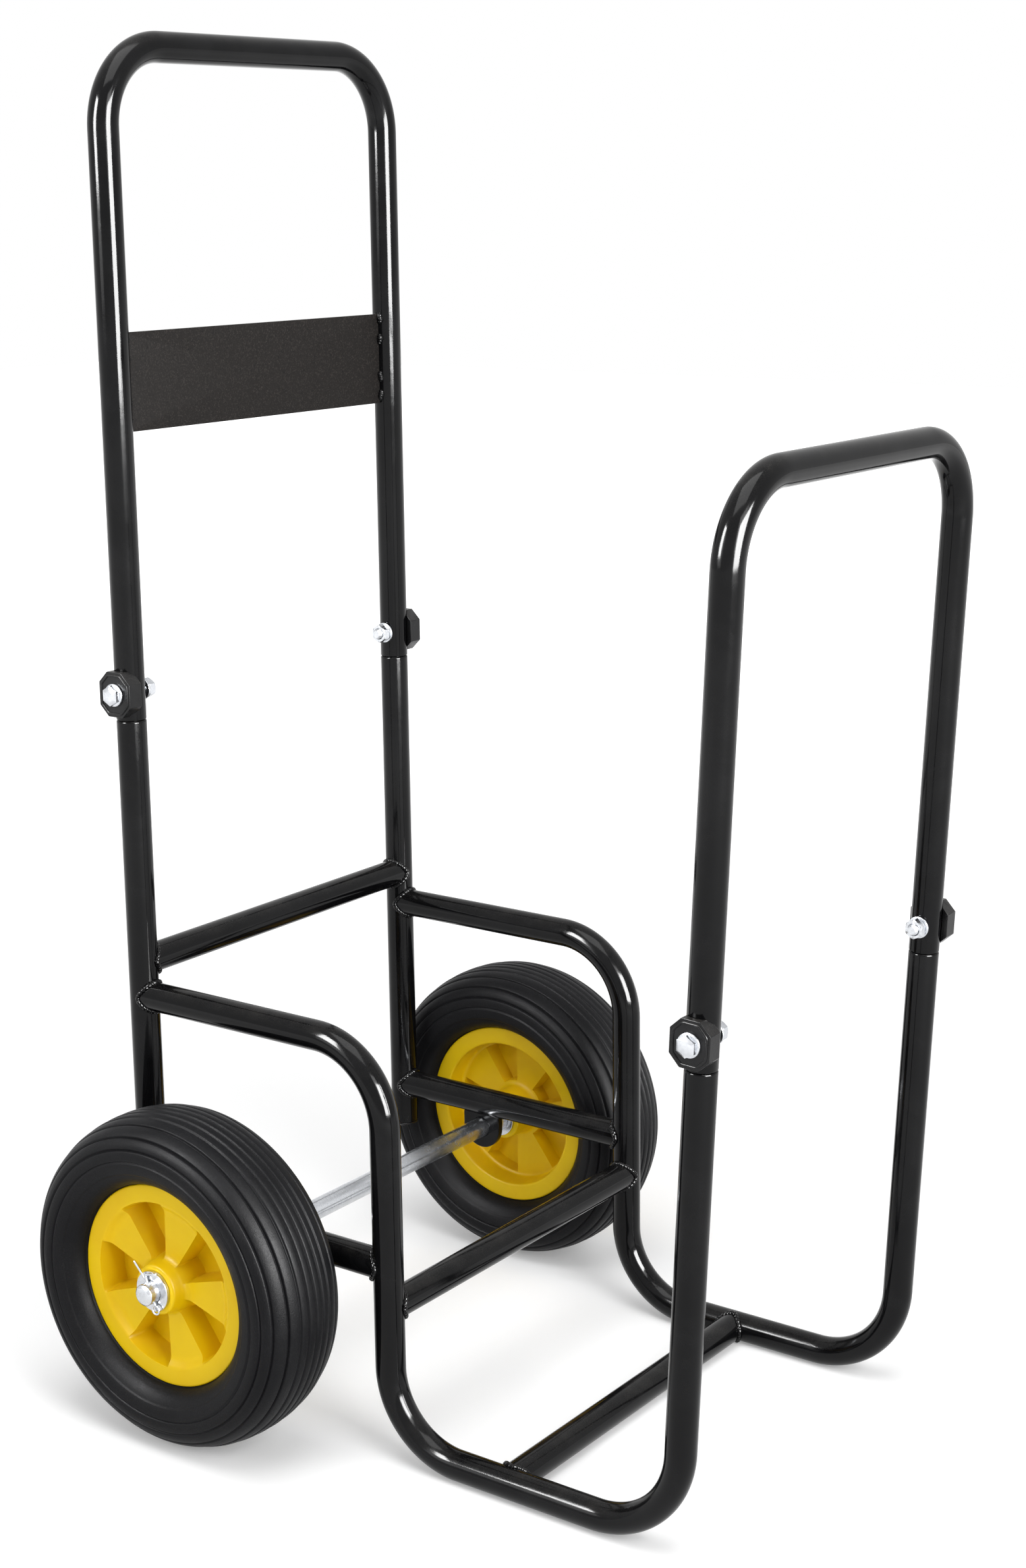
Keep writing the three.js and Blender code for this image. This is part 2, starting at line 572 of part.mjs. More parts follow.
function jointBolt() {
  const shankTop = headSeat + BOLT_ROOT;
  const shank = bar('x', BOLT_RADIUS, shankTop - boltEnd, at((shankTop + boltEnd) / 2, 0, 0), HOLE_SIDES);
  const flange = bar('x', BOLT_FLANGE_RADIUS, BOLT_FLANGE, at(headSeat + BOLT_FLANGE / 2, 0, 0), ROUND_SIDES);
  const headLength = BOLT_FLANGE + BOLT_HEAD;
  const head = bar('x', HEX_RADIUS, headLength, at(headSeat + headLength / 2, 0, 0), 6);
  return join(shank, flange, head);
}

function jointNut() {
  const nut = bar('x', HEX_RADIUS, NUT_HEIGHT, at(nutAt - NUT_HEIGHT / 2, 0, 0), 6);
  return cut(nut, bar('x', BOLT_RADIUS + GAP, 4 * NUT_HEIGHT, at(nutAt, 0, 0), HOLE_SIDES));
}

function buildLegJoint(name, point, lean, sign) {
  const leg = new THREE.Group();
  leg.position.copy(point);
  leg.rotation.x = lean;
  const joint = new THREE.Group();
  joint.rotation.z = sign < 0 ? Math.PI : 0;
  leg.add(joint);
  cart.add(leg);
  add(`joint_saddle_${name}`, saddle(), BLACK_PLASTIC, joint);
  add(`joint_bolt_${name}`, jointBolt(), ZINC, joint);
  const washer = sleeve(nutWasherAt - NUT_WASHER, nutWasherAt, NUT_WASHER_RADIUS, BOLT_RADIUS + GAP, 16);
  add(`joint_washer_${name}`, washer, ZINC, joint);
  add(`joint_nut_${name}`, jointNut(), ZINC, joint);
}

// ---------------------------------------------------------------- assembly
add('handle_hoop', handleHoop(), BLACK_GLOSS);
add('back_plate', backPlate(), BLACK_MATT);
add('front_hoop', frontHoop(), BLACK_GLOSS);
const railCutter = (x) => bar('y', coping, 6 * TUBE_RADIUS, at(x, floorCrossY, floorRailZ));
add('floor_cross_tube', crossTube(floorCrossY, floorRailZ, railCutter), BLACK_GLOSS);
const riserCutter = (x) => uprightCutter(x, riserY, RISER_CROSS_Z);
add('riser_cross_tube', crossTube(riserY, RISER_CROSS_Z, riserCutter), BLACK_GLOSS);
const postCutter = (x) => uprightCutter(x, rearY, shelfCrossZ);
add('shelf_cross_tube', crossTube(rearY, shelfCrossZ, postCutter), BLACK_GLOSS);
add('axle', axle(), ZINC, axleGroup);
for (const { side, sign } of SIDES) {
  add(`base_side_${side}`, baseSide(sign), BLACK_GLOSS);
  add(`rear_post_${side}`, rearPost(sign), BLACK_GLOSS);
  add(`post_plug_${side}`, postPlug(sign), BLACK_PLASTIC);
  add(`axle_rail_${side}`, axleRail(sign), BLACK_GLOSS);
  add(`axle_hanger_${side}`, axleHanger(sign), BLACK_GLOSS);
  buildWheelEnd(side, sign);
  buildLegJoint(`rear_${side}`, rearLeg(sign, 0), 0, sign);
  buildLegJoint(`front_${side}`, frontLeg(sign, 0), FRONT_LEAN, sign);
}

export default cart;
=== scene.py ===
import math

import bmesh
import bpy
import numpy as np
from mathutils import Matrix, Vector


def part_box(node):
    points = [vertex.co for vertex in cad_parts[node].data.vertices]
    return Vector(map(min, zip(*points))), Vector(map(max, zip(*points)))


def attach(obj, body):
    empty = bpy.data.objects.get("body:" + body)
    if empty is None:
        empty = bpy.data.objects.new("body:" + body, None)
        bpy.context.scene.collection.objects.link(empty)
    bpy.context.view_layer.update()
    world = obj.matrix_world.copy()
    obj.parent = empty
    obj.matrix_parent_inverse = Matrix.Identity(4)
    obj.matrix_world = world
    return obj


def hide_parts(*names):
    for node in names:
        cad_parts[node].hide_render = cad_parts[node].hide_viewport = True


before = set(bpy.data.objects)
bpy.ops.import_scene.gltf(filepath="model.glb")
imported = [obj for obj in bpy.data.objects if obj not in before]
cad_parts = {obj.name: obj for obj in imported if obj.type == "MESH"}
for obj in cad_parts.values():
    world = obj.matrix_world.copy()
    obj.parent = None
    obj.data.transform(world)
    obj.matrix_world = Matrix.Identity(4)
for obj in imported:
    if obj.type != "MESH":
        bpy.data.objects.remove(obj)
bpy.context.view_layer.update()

# -------------------------------- handle hoop
# The tall rear hoop is one length of 22 mm round steel tube, bent twice in a former and powder coated a
# deep gloss black. Its top bar is the handle, and its open ends slip over the rear posts and are bolted.
MM = 0.001
TUBE_WALL = 1.5 * MM
TUBE_FACETS = 64
TUBE_LIP = 0.6 * MM
SHOULDER_ROUND = 1.6 * MM
HOOP_BEND = 56 * MM
BEND_FACETS = 28
BEND_SQUEEZE = 0.035


def half_size(name):
    """Half a CAD node's size along X, Y and Z."""
    low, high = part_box(name)
    return [(b - a) / 2 for a, b in zip(low, high)]


TUBE = half_size("axle_rail_left")[0]


def shown(name, data):
    """Puts a new object in the scene."""
    made = bpy.data.objects.new(name, data)
    bpy.context.scene.collection.objects.link(made)
    return made


def closed_surface(name, *grids, loop=False, crease=38, marks=None):
    """A mesh of closed skins, one for each grid of points [i, j], where j runs round a ring and meets
    itself. With loop the last ring joins the first, and otherwise a fan of triangles closes each end.
    Faces are turned to point outwards. Marks are named values, one for each point of the grids."""
    points, faces, base = [], [], 0
    for grid in grids:
        rings, around = grid.shape[:2]
        i = np.arange(rings if loop else rings - 1)[:, None]
        j = np.arange(around)[None, :]
        here, onward = base + i * around, base + (i + 1) % rings * around
        beside = (j + 1) % around
        quads = np.stack([here + j, here + beside, onward + beside, onward + j], -1).reshape(-1, 4)
        skin_points = grid.reshape(-1, 3)
        fans = np.empty((0, 3), int)
        if not loop:
            skin_points = np.vstack([skin_points, grid[0].mean(0), grid[-1].mean(0)])
            first, last = base + rings * around, base + (rings - 1) * around
            ahead, back = j[0], beside[0]
            fans = np.vstack([
                np.stack([np.full(around, first), back, ahead], -1) + [0, base, base],
                np.stack([np.full(around, first + 1), last + ahead, last + back], -1),
            ])
        corners = skin_points[np.vstack([quads[:, :3], quads[:, [0, 2, 3]], fans]) - base]
        volume = np.einsum("ij,ij->", corners[:, 0], np.cross(corners[:, 1], corners[:, 2]))
        turn = slice(None, None, -1 if volume < 0 else 1)
        faces += quads[:, turn].tolist() + fans[:, turn].tolist()
        points.append(skin_points)
        base += len(skin_points)
    mesh = bpy.data.meshes.new(name)
    mesh.from_pydata(np.vstack(points).tolist(), [], faces)
    mesh.shade_smooth()
    mesh.set_sharp_from_angle(angle=math.radians(crease))
    for label, values in (marks or {}).items():
        flat = np.zeros(len(mesh.vertices), np.float32)
        flat[:values.size] = values.reshape(-1)
        mesh.attributes.new(label, "FLOAT", "POINT").data.foreach_set("value", flat)
    return shown(name, mesh)


def fitted(piece, material, slot, body, *nodes):
    """Gives a piece its finish and its body, and takes the place of the CAD nodes that it stands for."""
    piece.data.materials.clear()
    piece.data.materials.append(material)
    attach(piece, body)
    if nodes:
        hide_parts(*nodes)


def round_turn(steps):
    """Angles at even steps round a full turn, from 0."""
    return np.linspace(0, 2 * np.pi, steps, endpoint=False)


def unit(vectors):
    """Rows of vectors, each divided by its length."""
    return vectors / np.linalg.norm(vectors, axis=1)[:, None]


def distances(points):
    """How far along a line each of its points is: the sum of the steps up to it."""
    return np.concatenate([[0], np.cumsum(np.linalg.norm(np.diff(points, axis=0), axis=1))])


def bent_line(corners, bends):
    """A tube's axis: straight runs between corners, and at each inner corner an arc of its radius, start
    + r (1 - cos a) inward + r sin a before. Returns the points, their unit directions, and how far each
    is into a bend, sin(pi a / turn), from 0 on a straight run to 1 in the bend's middle."""
    corners = [np.array(c, float) for c in corners]
    heading = [(b - a) / np.linalg.norm(b - a) for a, b in zip(corners, corners[1:])]
    points, along, bent = [corners[:1]], [heading[:1]], [[0.0]]
    for corner, radius, before, after in zip(corners[1:-1], bends, heading, heading[1:]):
        turn = math.acos(np.clip(before @ after, -1, 1))
        inward = after - before * (before @ after)
        inward /= np.linalg.norm(inward)
        start = corner - before * radius * math.tan(turn / 2)
        angle = np.linspace(0, turn, BEND_FACETS + 1)[:, None]
        points.append(start + inward * radius * (1 - np.cos(angle)) + before * radius * np.sin(angle))
        along.append(before * np.cos(angle) + inward * np.sin(angle))
        bent.append(np.sin(np.pi * angle[:, 0] / turn))
    points.append(corners[-1:])
    along.append(heading[-1:])
    bent.append([0.0])
    return np.vstack(points), np.vstack(along), np.concatenate(bent)


def tube(line, flat_normal, neck=0.0, neck_radius=0.0):
    """A bent tube's skin and bore as one loop of rings: centre + r cos(a) n + r (1 - squeeze) sin(a) (t x
    n), out over the skin and back through the bore, with a rounded lip at each end. A neck is a first
    stretch of a smaller radius that ends in a rounded shoulder."""
    points, along, bent = line
    distance = distances(points)
    total = distance[-1]
    quarter = np.linspace(0, np.pi / 2, 5)
    lip = TUBE_LIP * (1 - np.cos(quarter))
    drop = TUBE_LIP * (1 - np.sin(quarter))
    middle = distance[(distance > neck + 2 * TUBE_LIP) & (distance < total - 2 * TUBE_LIP)]
    if neck:
        turn = np.linspace(0, np.pi / 2, 8)
        shoulder = neck + SHOULDER_ROUND * (1 - np.cos(turn))
        rounded = TUBE - SHOULDER_ROUND * (1 - np.sin(turn))
        middle = middle[middle > neck + 2 * SHOULDER_ROUND]
        skin_at = np.concatenate([lip, [neck], shoulder, middle, total - lip[::-1]])
        start_r = np.concatenate([neck_radius - drop, [neck_radius], rounded])
        bore_r = np.where(skin_at > neck + 2 * SHOULDER_ROUND, TUBE, neck_radius) - TUBE_WALL
    else:
        skin_at = np.concatenate([lip, middle, total - lip[::-1]])
        start_r = TUBE - drop
        bore_r = np.full(len(skin_at), TUBE - TUBE_WALL)
    skin_r = np.concatenate([start_r, np.full(len(middle), TUBE), TUBE - drop[::-1]])
    at = np.concatenate([skin_at, skin_at[::-1]])
    radius = np.concatenate([skin_r, bore_r[::-1]])[:, None, None]
    centre = np.stack([np.interp(at, distance, points[:, k]) for k in range(3)], -1)[:, None]
    heading = np.stack([np.interp(at, distance, along[:, k]) for k in range(3)], -1)
    normal = np.array(flat_normal, float)
    side = unit(np.cross(heading, normal))
    squeeze = 1 - BEND_SQUEEZE * np.interp(at, distance, bent)[:, None, None]
    angle = round_turn(TUBE_FACETS)[None, :, None]
    return centre + radius * (np.cos(angle) * normal + squeeze * np.sin(angle) * side[:, None])


post_low, post_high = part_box("rear_post_right")
half_width, rear_y = (post_low.x + post_high.x) / 2, (post_low.y + post_high.y) / 2
hoop_low, hoop_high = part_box("handle_hoop")


def hoop_line(foot_y, foot_z, bar_y, bar_z):
    """A hoop's axis: up from one foot, across at the bar, and down to the other foot."""
    rise = [(foot_y, foot_z), (bar_y, bar_z)]
    corners = [(-half_width, y, z) for y, z in rise] + [(half_width, y, z) for y, z in rise[::-1]]
    return bent_line(corners, [HOOP_BEND, HOOP_BEND])


handle_line = hoop_line(rear_y, hoop_low.z, rear_y, hoop_high.z - TUBE)
handle = closed_surface("handle_tube", tube(handle_line, (0, 1, 0)), loop=True)

# Its coat is black polyester powder, baked to a deep gloss over the steel. It has the faint waviness of a
# sprayed and baked skin, finger smears, and dust where it faces up.
COAT_BLACK = (0.0028, 0.0028, 0.0032, 1)
COAT_SMEARED = (0.0055, 0.0055, 0.006, 1)
DUST_PALE = (0.21, 0.195, 0.175, 1)
FLOAT, VECTOR = "NodeSocketFloat", "NodeSocketVector"


def feed(tree, socket, value):
    """Links a socket to another, or sets its value."""
    if isinstance(value, bpy.types.NodeSocket):
        tree.links.new(value, socket)
    else:
        socket.default_value = value


def node(tree, kind, **inputs):
    """Adds a shader node. Inputs are named after its sockets, and hold values or sockets."""
    made = tree.nodes.new("ShaderNode" + kind)
    for name, value in inputs.items():
        feed(tree, made.inputs[name], value)
    return made


def maths(tree, operation, *values):
    """A Math node's result: ADD, MULTIPLY and so on, of two or three values."""
    made = tree.nodes.new("ShaderNodeMath")
    made.operation = operation
    for socket, value in zip(made.inputs, values):
        feed(tree, socket, value)
    return made.outputs[0]


def ranged(tree, value, low, high, to_low=0.0, to_high=1.0):
    """A value held between low and high, and carried smoothly to the range from to_low to to_high."""
    made = node(tree, "MapRange", Value=value)
    made.interpolation_type = "SMOOTHSTEP"
    for name, number in (("From Min", low), ("From Max", high), ("To Min", to_low), ("To Max", to_high)):
        feed(tree, made.inputs[name], number)
    return made.outputs["Result"]


def mixed(tree, share, first, second):
    """A colour between two, by a share from 0 to 1."""
    made = tree.nodes.new("ShaderNodeMix")
    made.data_type = "RGBA"
    for socket, value in zip((made.inputs[0], made.inputs[6], made.inputs[7]), (share, first, second)):
        feed(tree, socket, value)
    return made.outputs[2]


def noise(tree, place, scale, detail=2.0, rough=0.5, swirl=0.0):
    """Fractal noise of so many features a metre, from 0 to 1 with a middle of 0.5."""
    made = node(tree, "TexNoise", Vector=place, Scale=scale, Detail=detail, Roughness=rough,
                Distortion=swirl)
    return made.outputs["Fac"]


def effect_group(name, inputs, outputs):
    """An empty shader node group with float or vector inputs and float outputs, and its two end nodes."""
    tree = bpy.data.node_groups.new(name, "ShaderNodeTree")
    for label, kind in inputs.items():
        tree.interface.new_socket(label, in_out="INPUT", socket_type=kind)
    for label in outputs:
        tree.interface.new_socket(label, in_out="OUTPUT", socket_type=FLOAT)
    return tree, tree.nodes.new("NodeGroupInput").outputs, tree.nodes.new("NodeGroupOutput").inputs


def effect(tree, group, **inputs):
    """Places a node group in a material and returns its outputs."""
    made = tree.nodes.new("ShaderNodeGroup")
    made.node_tree = group
    for name, value in inputs.items():
        feed(tree, made.inputs[name], value)
    return made.outputs


def finish(name, sheen=0.5):
    """A new material of a specular level: itself, its tree, its shader's sockets, object coordinates."""
    made = bpy.data.materials.new(name)
    made.use_nodes = True
    tree = made.node_tree
    shader = next(n for n in tree.nodes if n.type == "BSDF_PRINCIPLED")
    shader.inputs["Specular IOR Level"].default_value = sheen
    return made, tree, shader.inputs, tree.nodes.new("ShaderNodeTexCoord").outputs["Object"]


def raised(tree, height, depth):
    """The normal of a surface raised by height times depth, in metres."""
    return node(tree, "Bump", Height=height, Distance=depth).outputs["Normal"]


def skinned(tree, coat, skin, rough, smear, depth):
    """A sprayed or moulded skin, raised by depth. Its roughness is rough + smear times its smears."""
    feed(tree, coat["Roughness"], maths(tree, "MULTIPLY_ADD", skin["Smear"], smear, rough))
    feed(tree, coat["Normal"], raised(tree, skin["Height"], depth))


# Sprayed skin: a height with a long and a short wave, and cloudy smears.
skin_group, given, result = effect_group(
    "sprayed_skin", {"Place": VECTOR, "Waves": FLOAT, "Grain": FLOAT}, ["Height", "Smear"])
long_wave = noise(skin_group, given["Place"], given["Waves"], detail=1.0)
short_wave = noise(skin_group, given["Place"], given["Grain"], detail=3.0, rough=0.6)
feed(skin_group, result["Height"], maths(skin_group, "MULTIPLY_ADD", short_wave, 0.35, long_wave))
cloud = noise(skin_group, given["Place"], 17.0, detail=5.0, rough=0.62, swirl=0.6)
feed(skin_group, result["Smear"], ranged(skin_group, cloud, 0.42, 0.68))

# Settled dust: on what faces up, in patches with fine specks.
dust_group, given, result = effect_group("settled_dust", {"Place": VECTOR, "Amount": FLOAT}, ["Mask"])
facing = dust_group.nodes.new("ShaderNodeNewGeometry").outputs["Normal"]
facing_up = ranged(dust_group, node(dust_group, "SeparateXYZ", Vector=facing).outputs["Z"], 0.25, 1.0)
patch = ranged(dust_group, noise(dust_group, given["Place"], 38.0, detail=6.0, rough=0.7), 0.38, 0.72)
speck = ranged(dust_group, noise(dust_group, given["Place"], 1400.0), 0.52, 0.66)
cover = maths(dust_group, "MULTIPLY", facing_up, maths(dust_group, "ADD", patch, speck))
feed(dust_group, result["Mask"], maths(dust_group, "MULTIPLY", cover, given["Amount"]))

gloss_black, tree, coat, place = finish("gloss_black", sheen=0.15)
skin = effect(tree, skin_group, Place=place, Waves=95.0, Grain=620.0)
dust = effect(tree, dust_group, Place=place, Amount=0.05)["Mask"]
tint = mixed(tree, skin["Smear"], COAT_BLACK, COAT_SMEARED)
feed(tree, coat["Base Color"], mixed(tree, dust, tint, DUST_PALE))
skinned(tree, coat, skin, rough=maths(tree, "ADD", dust, 0.09), smear=0.06, depth=0.000035)
COATED = (gloss_black, "black_gloss_coat", "frame")
fitted(handle, *COATED, "handle_hoop")

# -------------------------------- front hoop
# The low front hoop is bent from the same tube, coated alike, and bolted on over the front legs. It leans
# 3 degrees forward, as the legs do.
LEAN = math.radians(3)
front_low, front_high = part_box("front_hoop")
front_bar = np.array([front_low.y + TUBE, front_high.z - TUBE])


def front_leg_y(z):
    """The y of the leaning front legs' axis at a height: it comes back by tan(LEAN) a step down."""
    return front_bar[0] + (front_bar[1] - z) * math.tan(LEAN)


front_end_z = front_low.z + TUBE * math.sin(LEAN)
front_line = hoop_line(front_leg_y(front_end_z), front_end_z, *front_bar)
front_normal = (0, math.cos(LEAN), math.sin(LEAN))
front_hoop = closed_surface("front_tube", tube(front_line, front_normal), loop=True)
fitted(front_hoop, *COATED, "front_hoop")

# -------------------------------- base sides and rear posts
# Each side of the lower frame is one tube: front leg, floor rail, riser over the step and shelf rail,
# welded to the rear post. The upper ends of leg and post are swaged down to slip into the hoops.
FLOOR_BEND, STEP_BEND = 69 * MM, 60 * MM
FIT_GAP = 0.3 * MM
SPIGOT = TUBE - TUBE_WALL - FIT_GAP
SHELF_UNDER_CROSS = 26 * MM
SIDES = {"left": -1, "right": 1}


def coped(grid, meeting, heading, other_axis):
    """Cuts a tube's end to the saddle of the tube it meets: what reaches past that tube's skin, seen
    along heading, is drawn back onto it, to sqrt(R^2 - b^2) from its axis for a point b to the side."""
    heading, across = np.array(heading, float), np.cross(heading, other_axis)
    off = grid - meeting
    beside = np.abs(off @ across)
    reach = TUBE + FIT_GAP
    past = off @ heading + np.sqrt(np.maximum(reach ** 2 - beside ** 2, 0))
    return grid - np.maximum(past, 0)[..., None] * heading


def mid(name):
    """The middle of a CAD node's box."""
    low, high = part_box(name)
    return (low + high) / 2


riser_y = mid("riser_cross_tube").y
shelf_z = mid("shelf_cross_tube").z - SHELF_UNDER_CROSS
spigot_end_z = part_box("base_side_left")[1].z - SPIGOT * math.sin(LEAN)
front_neck = (spigot_end_z - front_end_z) / math.cos(LEAN) + FIT_GAP
rear_neck = post_high.z - hoop_low.z + FIT_GAP
for side, sign in SIDES.items():
    x = sign * half_width
    side_line = bent_line(
        [(x, front_leg_y(spigot_end_z), spigot_end_z), (x, front_leg_y(TUBE), TUBE), (x, riser_y, TUBE),
         (x, riser_y, shelf_z), (x, rear_y, shelf_z)],
        [FLOOR_BEND, STEP_BEND, STEP_BEND])
    grid = tube(side_line, (1, 0, 0), front_neck, SPIGOT)
    grid = coped(grid, (x, rear_y, shelf_z), (0, 1, 0), (0, 0, 1))
    base = closed_surface(f"base_tube_{side}", grid, loop=True)
    fitted(base, *COATED, f"base_side_{side}")
    post_line = bent_line([(x, rear_y, post_high.z), (x, rear_y, post_low.z)], [])
    post = closed_surface(f"post_tube_{side}", tube(post_line, (1, 0, 0), rear_neck, SPIGOT), loop=True)
    fitted(post, *COATED, f"rear_post_{side}")

# -------------------------------- cross tubes and axle rails
# Straight tubes tie the two sides together on the floor, at the risers and over the shelf, and a rail on
# each side carries the axle. Their ends are coped to fit the tubes they meet, and welded.
CROSS_TUBES = (("floor_cross_tube", (0, 1, 0)), ("riser_cross_tube", (0, 0, 1)),
               ("shelf_cross_tube", (0, 0, 1)))
welded_ends = []


def welded_tube(piece_name, node_name, start, end, flat_normal, other_axis):
    """A straight tube, coped at both ends to tubes along other_axis. Its ends are listed to be welded."""
    heading = np.subtract(end, start) / math.dist(start, end)
    grid = tube(bent_line([start, end], []), flat_normal)
    for meeting, outward in ((start, -heading), (end, heading)):
        grid = coped(grid, meeting, outward, other_axis)
        welded_ends.append((meeting, outward, other_axis))
    skin = closed_surface(piece_name, grid, loop=True)
    fitted(skin, *COATED, node_name)


for name, other_axis in CROSS_TUBES:
    centre = mid(name)
    start, end = [(sign * half_width, centre.y, centre.z) for sign in (-1, 1)]
    welded_tube(f"{name}_skin", name, start, end, (0, 0, 1), other_axis)
rail_z = mid("axle_rail_left").z
for side, sign in SIDES.items():
    x = sign * half_width
    welded_tube(f"axle_rail_skin_{side}", f"axle_rail_{side}", (x, riser_y, rail_z), (x, rear_y, rail_z),
                (1, 0, 0), (0, 0, 1))
    welded_ends.append(((x, rear_y, shelf_z), (0, 1, 0), (0, 0, 1)))

# -------------------------------- weld beads
# Each coped end is welded all round, under the powder coat: a raised bead of weld steel with the lapping
# ripples of a hand-held torch.
WELD = 1.9 * MM
WELD_SIZE = 0.85
WELD_RIPPLES = 30
WELD_RIPPLE_DEPTH = 0.24
WELD_RIPPLE_STEPS = 10
WELD_FACETS = 18
WELD_ON_SKIN, WELD_OFF_OTHER = 0.2 * MM, 0.7 * MM
WELD_CLEAR_OF_FLOOR = 0.15 * MM
RIPPLE_SIZES = 97


def lapped(course, turn, rng):
    """Weld ripples, each lapping the one before: f = sin(pi s^1.6) over each ripple s, where s is the
    course in ripples bent into chevrons by 0.3 cos(turn), and each ripple has its own size between 0.6
    and 1."""
    at = course + 0.3 * np.cos(turn)
    size = rng.uniform(0.6, 1.0, RIPPLE_SIZES)[np.floor(at).astype(int) % RIPPLE_SIZES]
    return size * np.sin(np.pi * (at % 1) ** 1.6)


def weld_ring(meeting, heading, other_axis, seed):
    """The bead round a coped end. Its spine runs r (cos a, sin a) across the tube and sqrt(R^2 - (r sin
    a)^2) short of the other tube's axis, where the two skins cross. Its thickness is WELD (WELD_SIZE +
    ripples + a slow waver)."""
    heading = np.array(heading, float)
    up, across = np.array(other_axis, float), np.cross(heading, other_axis)
    angle = round_turn(WELD_RIPPLES * WELD_RIPPLE_STEPS)
    radius, reach = TUBE + WELD_ON_SKIN, TUBE + WELD_OFF_OTHER
    out = np.cos(angle)[:, None] * up + np.sin(angle)[:, None] * across
    short = np.sqrt(reach ** 2 - (radius * np.sin(angle)) ** 2)
    spine = meeting + radius * out - short[:, None] * heading
    course = unit(np.roll(spine, -1, 0) - np.roll(spine, 1, 0))
    first = unit(out - (out * course).sum(1)[:, None] * course)
    second = np.cross(course, first)
    rng = np.random.default_rng(seed)
    phase = rng.uniform(0, 2 * np.pi, 2)
    turn = round_turn(WELD_FACETS)[None, :]
    ripple = WELD_RIPPLE_DEPTH * lapped((angle * WELD_RIPPLES / (2 * np.pi))[:, None], turn, rng)
    waver = 0.08 * np.sin(2 * angle + phase[0]) + 0.05 * np.sin(5 * angle + phase[1])
    thick = (WELD * (WELD_SIZE + ripple + waver[:, None]))[..., None]
    turn = turn[..., None]
    return spine[:, None] + thick * (np.cos(turn) * first[:, None] + np.sin(turn) * second[:, None])


rings = [weld_ring(*end, seed) for seed, end in enumerate(welded_ends)]
for ring in rings:
    ring[..., 2] = np.maximum(ring[..., 2], WELD_CLEAR_OF_FLOOR)
welds = closed_surface("tube_welds", *rings, loop=True, crease=60)
fitted(welds, *COATED)

# -------------------------------- back plate
# A sheet of 2 mm steel between the rear hoop's legs, sprayed a fine-grained matt charcoal. Its ends are
# tacked to the legs with short welds, front and back.
PLATE_CORNER = 1.2 * MM
PLATE_EDGE = 0.5 * MM
TACK = 2.9 * MM
TACK_LENGTH = 9 * MM
TACK_RIPPLES = 4.5
TACK_HEIGHTS = (0.09, 0.3, 0.72, 0.95)
TACK_OFF_LEG, TACK_OFF_MIDDLE = 0.2 * MM, 1.9 * MM
MATT_CHARCOAL = (0.0090, 0.0072, 0.0063, 1)
MATT_FLECK = (0.036, 0.030, 0.0265, 1)
MATT_PIT = (0.0015, 0.0013, 0.0012, 1)

matt_charcoal, tree, coat, place = finish("matt_charcoal", sheen=0.07)
skin = effect(tree, skin_group, Place=place, Waves=240.0, Grain=1500.0)
dust = effect(tree, dust_group, Place=place, Amount=0.12)["Mask"]
fleck = ranged(tree, noise(tree, place, 900.0, detail=3.0, rough=0.7), 0.5, 0.72)
pit = ranged(tree, noise(tree, place, 330.0, detail=4.0, rough=0.65), 0.6, 0.72)
tint = mixed(tree, pit, mixed(tree, fleck, MATT_CHARCOAL, MATT_FLECK), MATT_PIT)
feed(tree, coat["Base Color"], mixed(tree, dust, tint, DUST_PALE))
feed(tree, coat["Roughness"], maths(tree, "MULTIPLY_ADD", skin["Smear"], -0.1, 0.62))
grain = maths(tree, "MULTIPLY_ADD", fleck, 0.5, skin["Height"])
feed(tree, coat["Normal"], raised(tree, grain, 0.00016))


def eased(corners, radius, steps=5):
    """A closed outline with its corners rounded: at each one a quadratic curve, (1-t)^2 start + 2t(1-t)
    corner + t^2 end, between points radius away on both sides. Radius is one value or one for each
    corner."""
    corner = np.array(corners, float)
    radius = np.broadcast_to(np.array(radius, float), len(corner))[:, None]

    def towards(other):
        """Points on the sides to the other corners: radius from each corner, at most 0.48 of the side."""
        gap = other - corner
        length = np.linalg.norm(gap, axis=1)[:, None]
        return corner + gap / length * np.minimum(radius, 0.48 * length)

    start, end = towards(np.roll(corner, 1, 0)), towards(np.roll(corner, -1, 0))
    t = np.linspace(0, 1, steps)[None, :, None]
    curve = (1 - t) ** 2 * start[:, None] + 2 * t * (1 - t) * corner[:, None] + t ** 2 * end[:, None]
    return curve.reshape(-1, 2)


def sheet_grid(outline_at, thickness, edge):
    """A plate from an outline that can be drawn inset: rings from one face to the other, drawn in along a
    quarter circle of radius edge at both faces. Rows are (u, v, depth)."""
    t = np.linspace(0, np.pi / 2, 5)
    inset = edge * (1 - np.sin(t))
    depth = edge * (1 - np.cos(t))
    insets = np.concatenate([inset, inset[::-1]])
    depths = np.concatenate([depth, thickness - depth[::-1]])
    outlines = [outline_at(i) for i in insets]
    return np.stack([np.column_stack([line, np.full(len(line), d)]) for line, d in zip(outlines, depths)])


plate_low, plate_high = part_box("back_plate")


def plate_outline(inset):
    """The plate's rounded rectangle, drawn in by inset."""
    x0, x1 = plate_low.x + inset, plate_high.x - inset
    z0, z1 = plate_low.z + inset, plate_high.z - inset
    return eased([(x0, z0), (x1, z0), (x1, z1), (x0, z1)], PLATE_CORNER)


grid = sheet_grid(plate_outline, plate_high.y - plate_low.y, PLATE_EDGE)
grid = np.stack([grid[..., 0], plate_low.y + grid[..., 2], grid[..., 1]], -1)
fitted(closed_surface("plate_sheet", grid), matt_charcoal, "black_matt_coat", "frame", "back_plate")


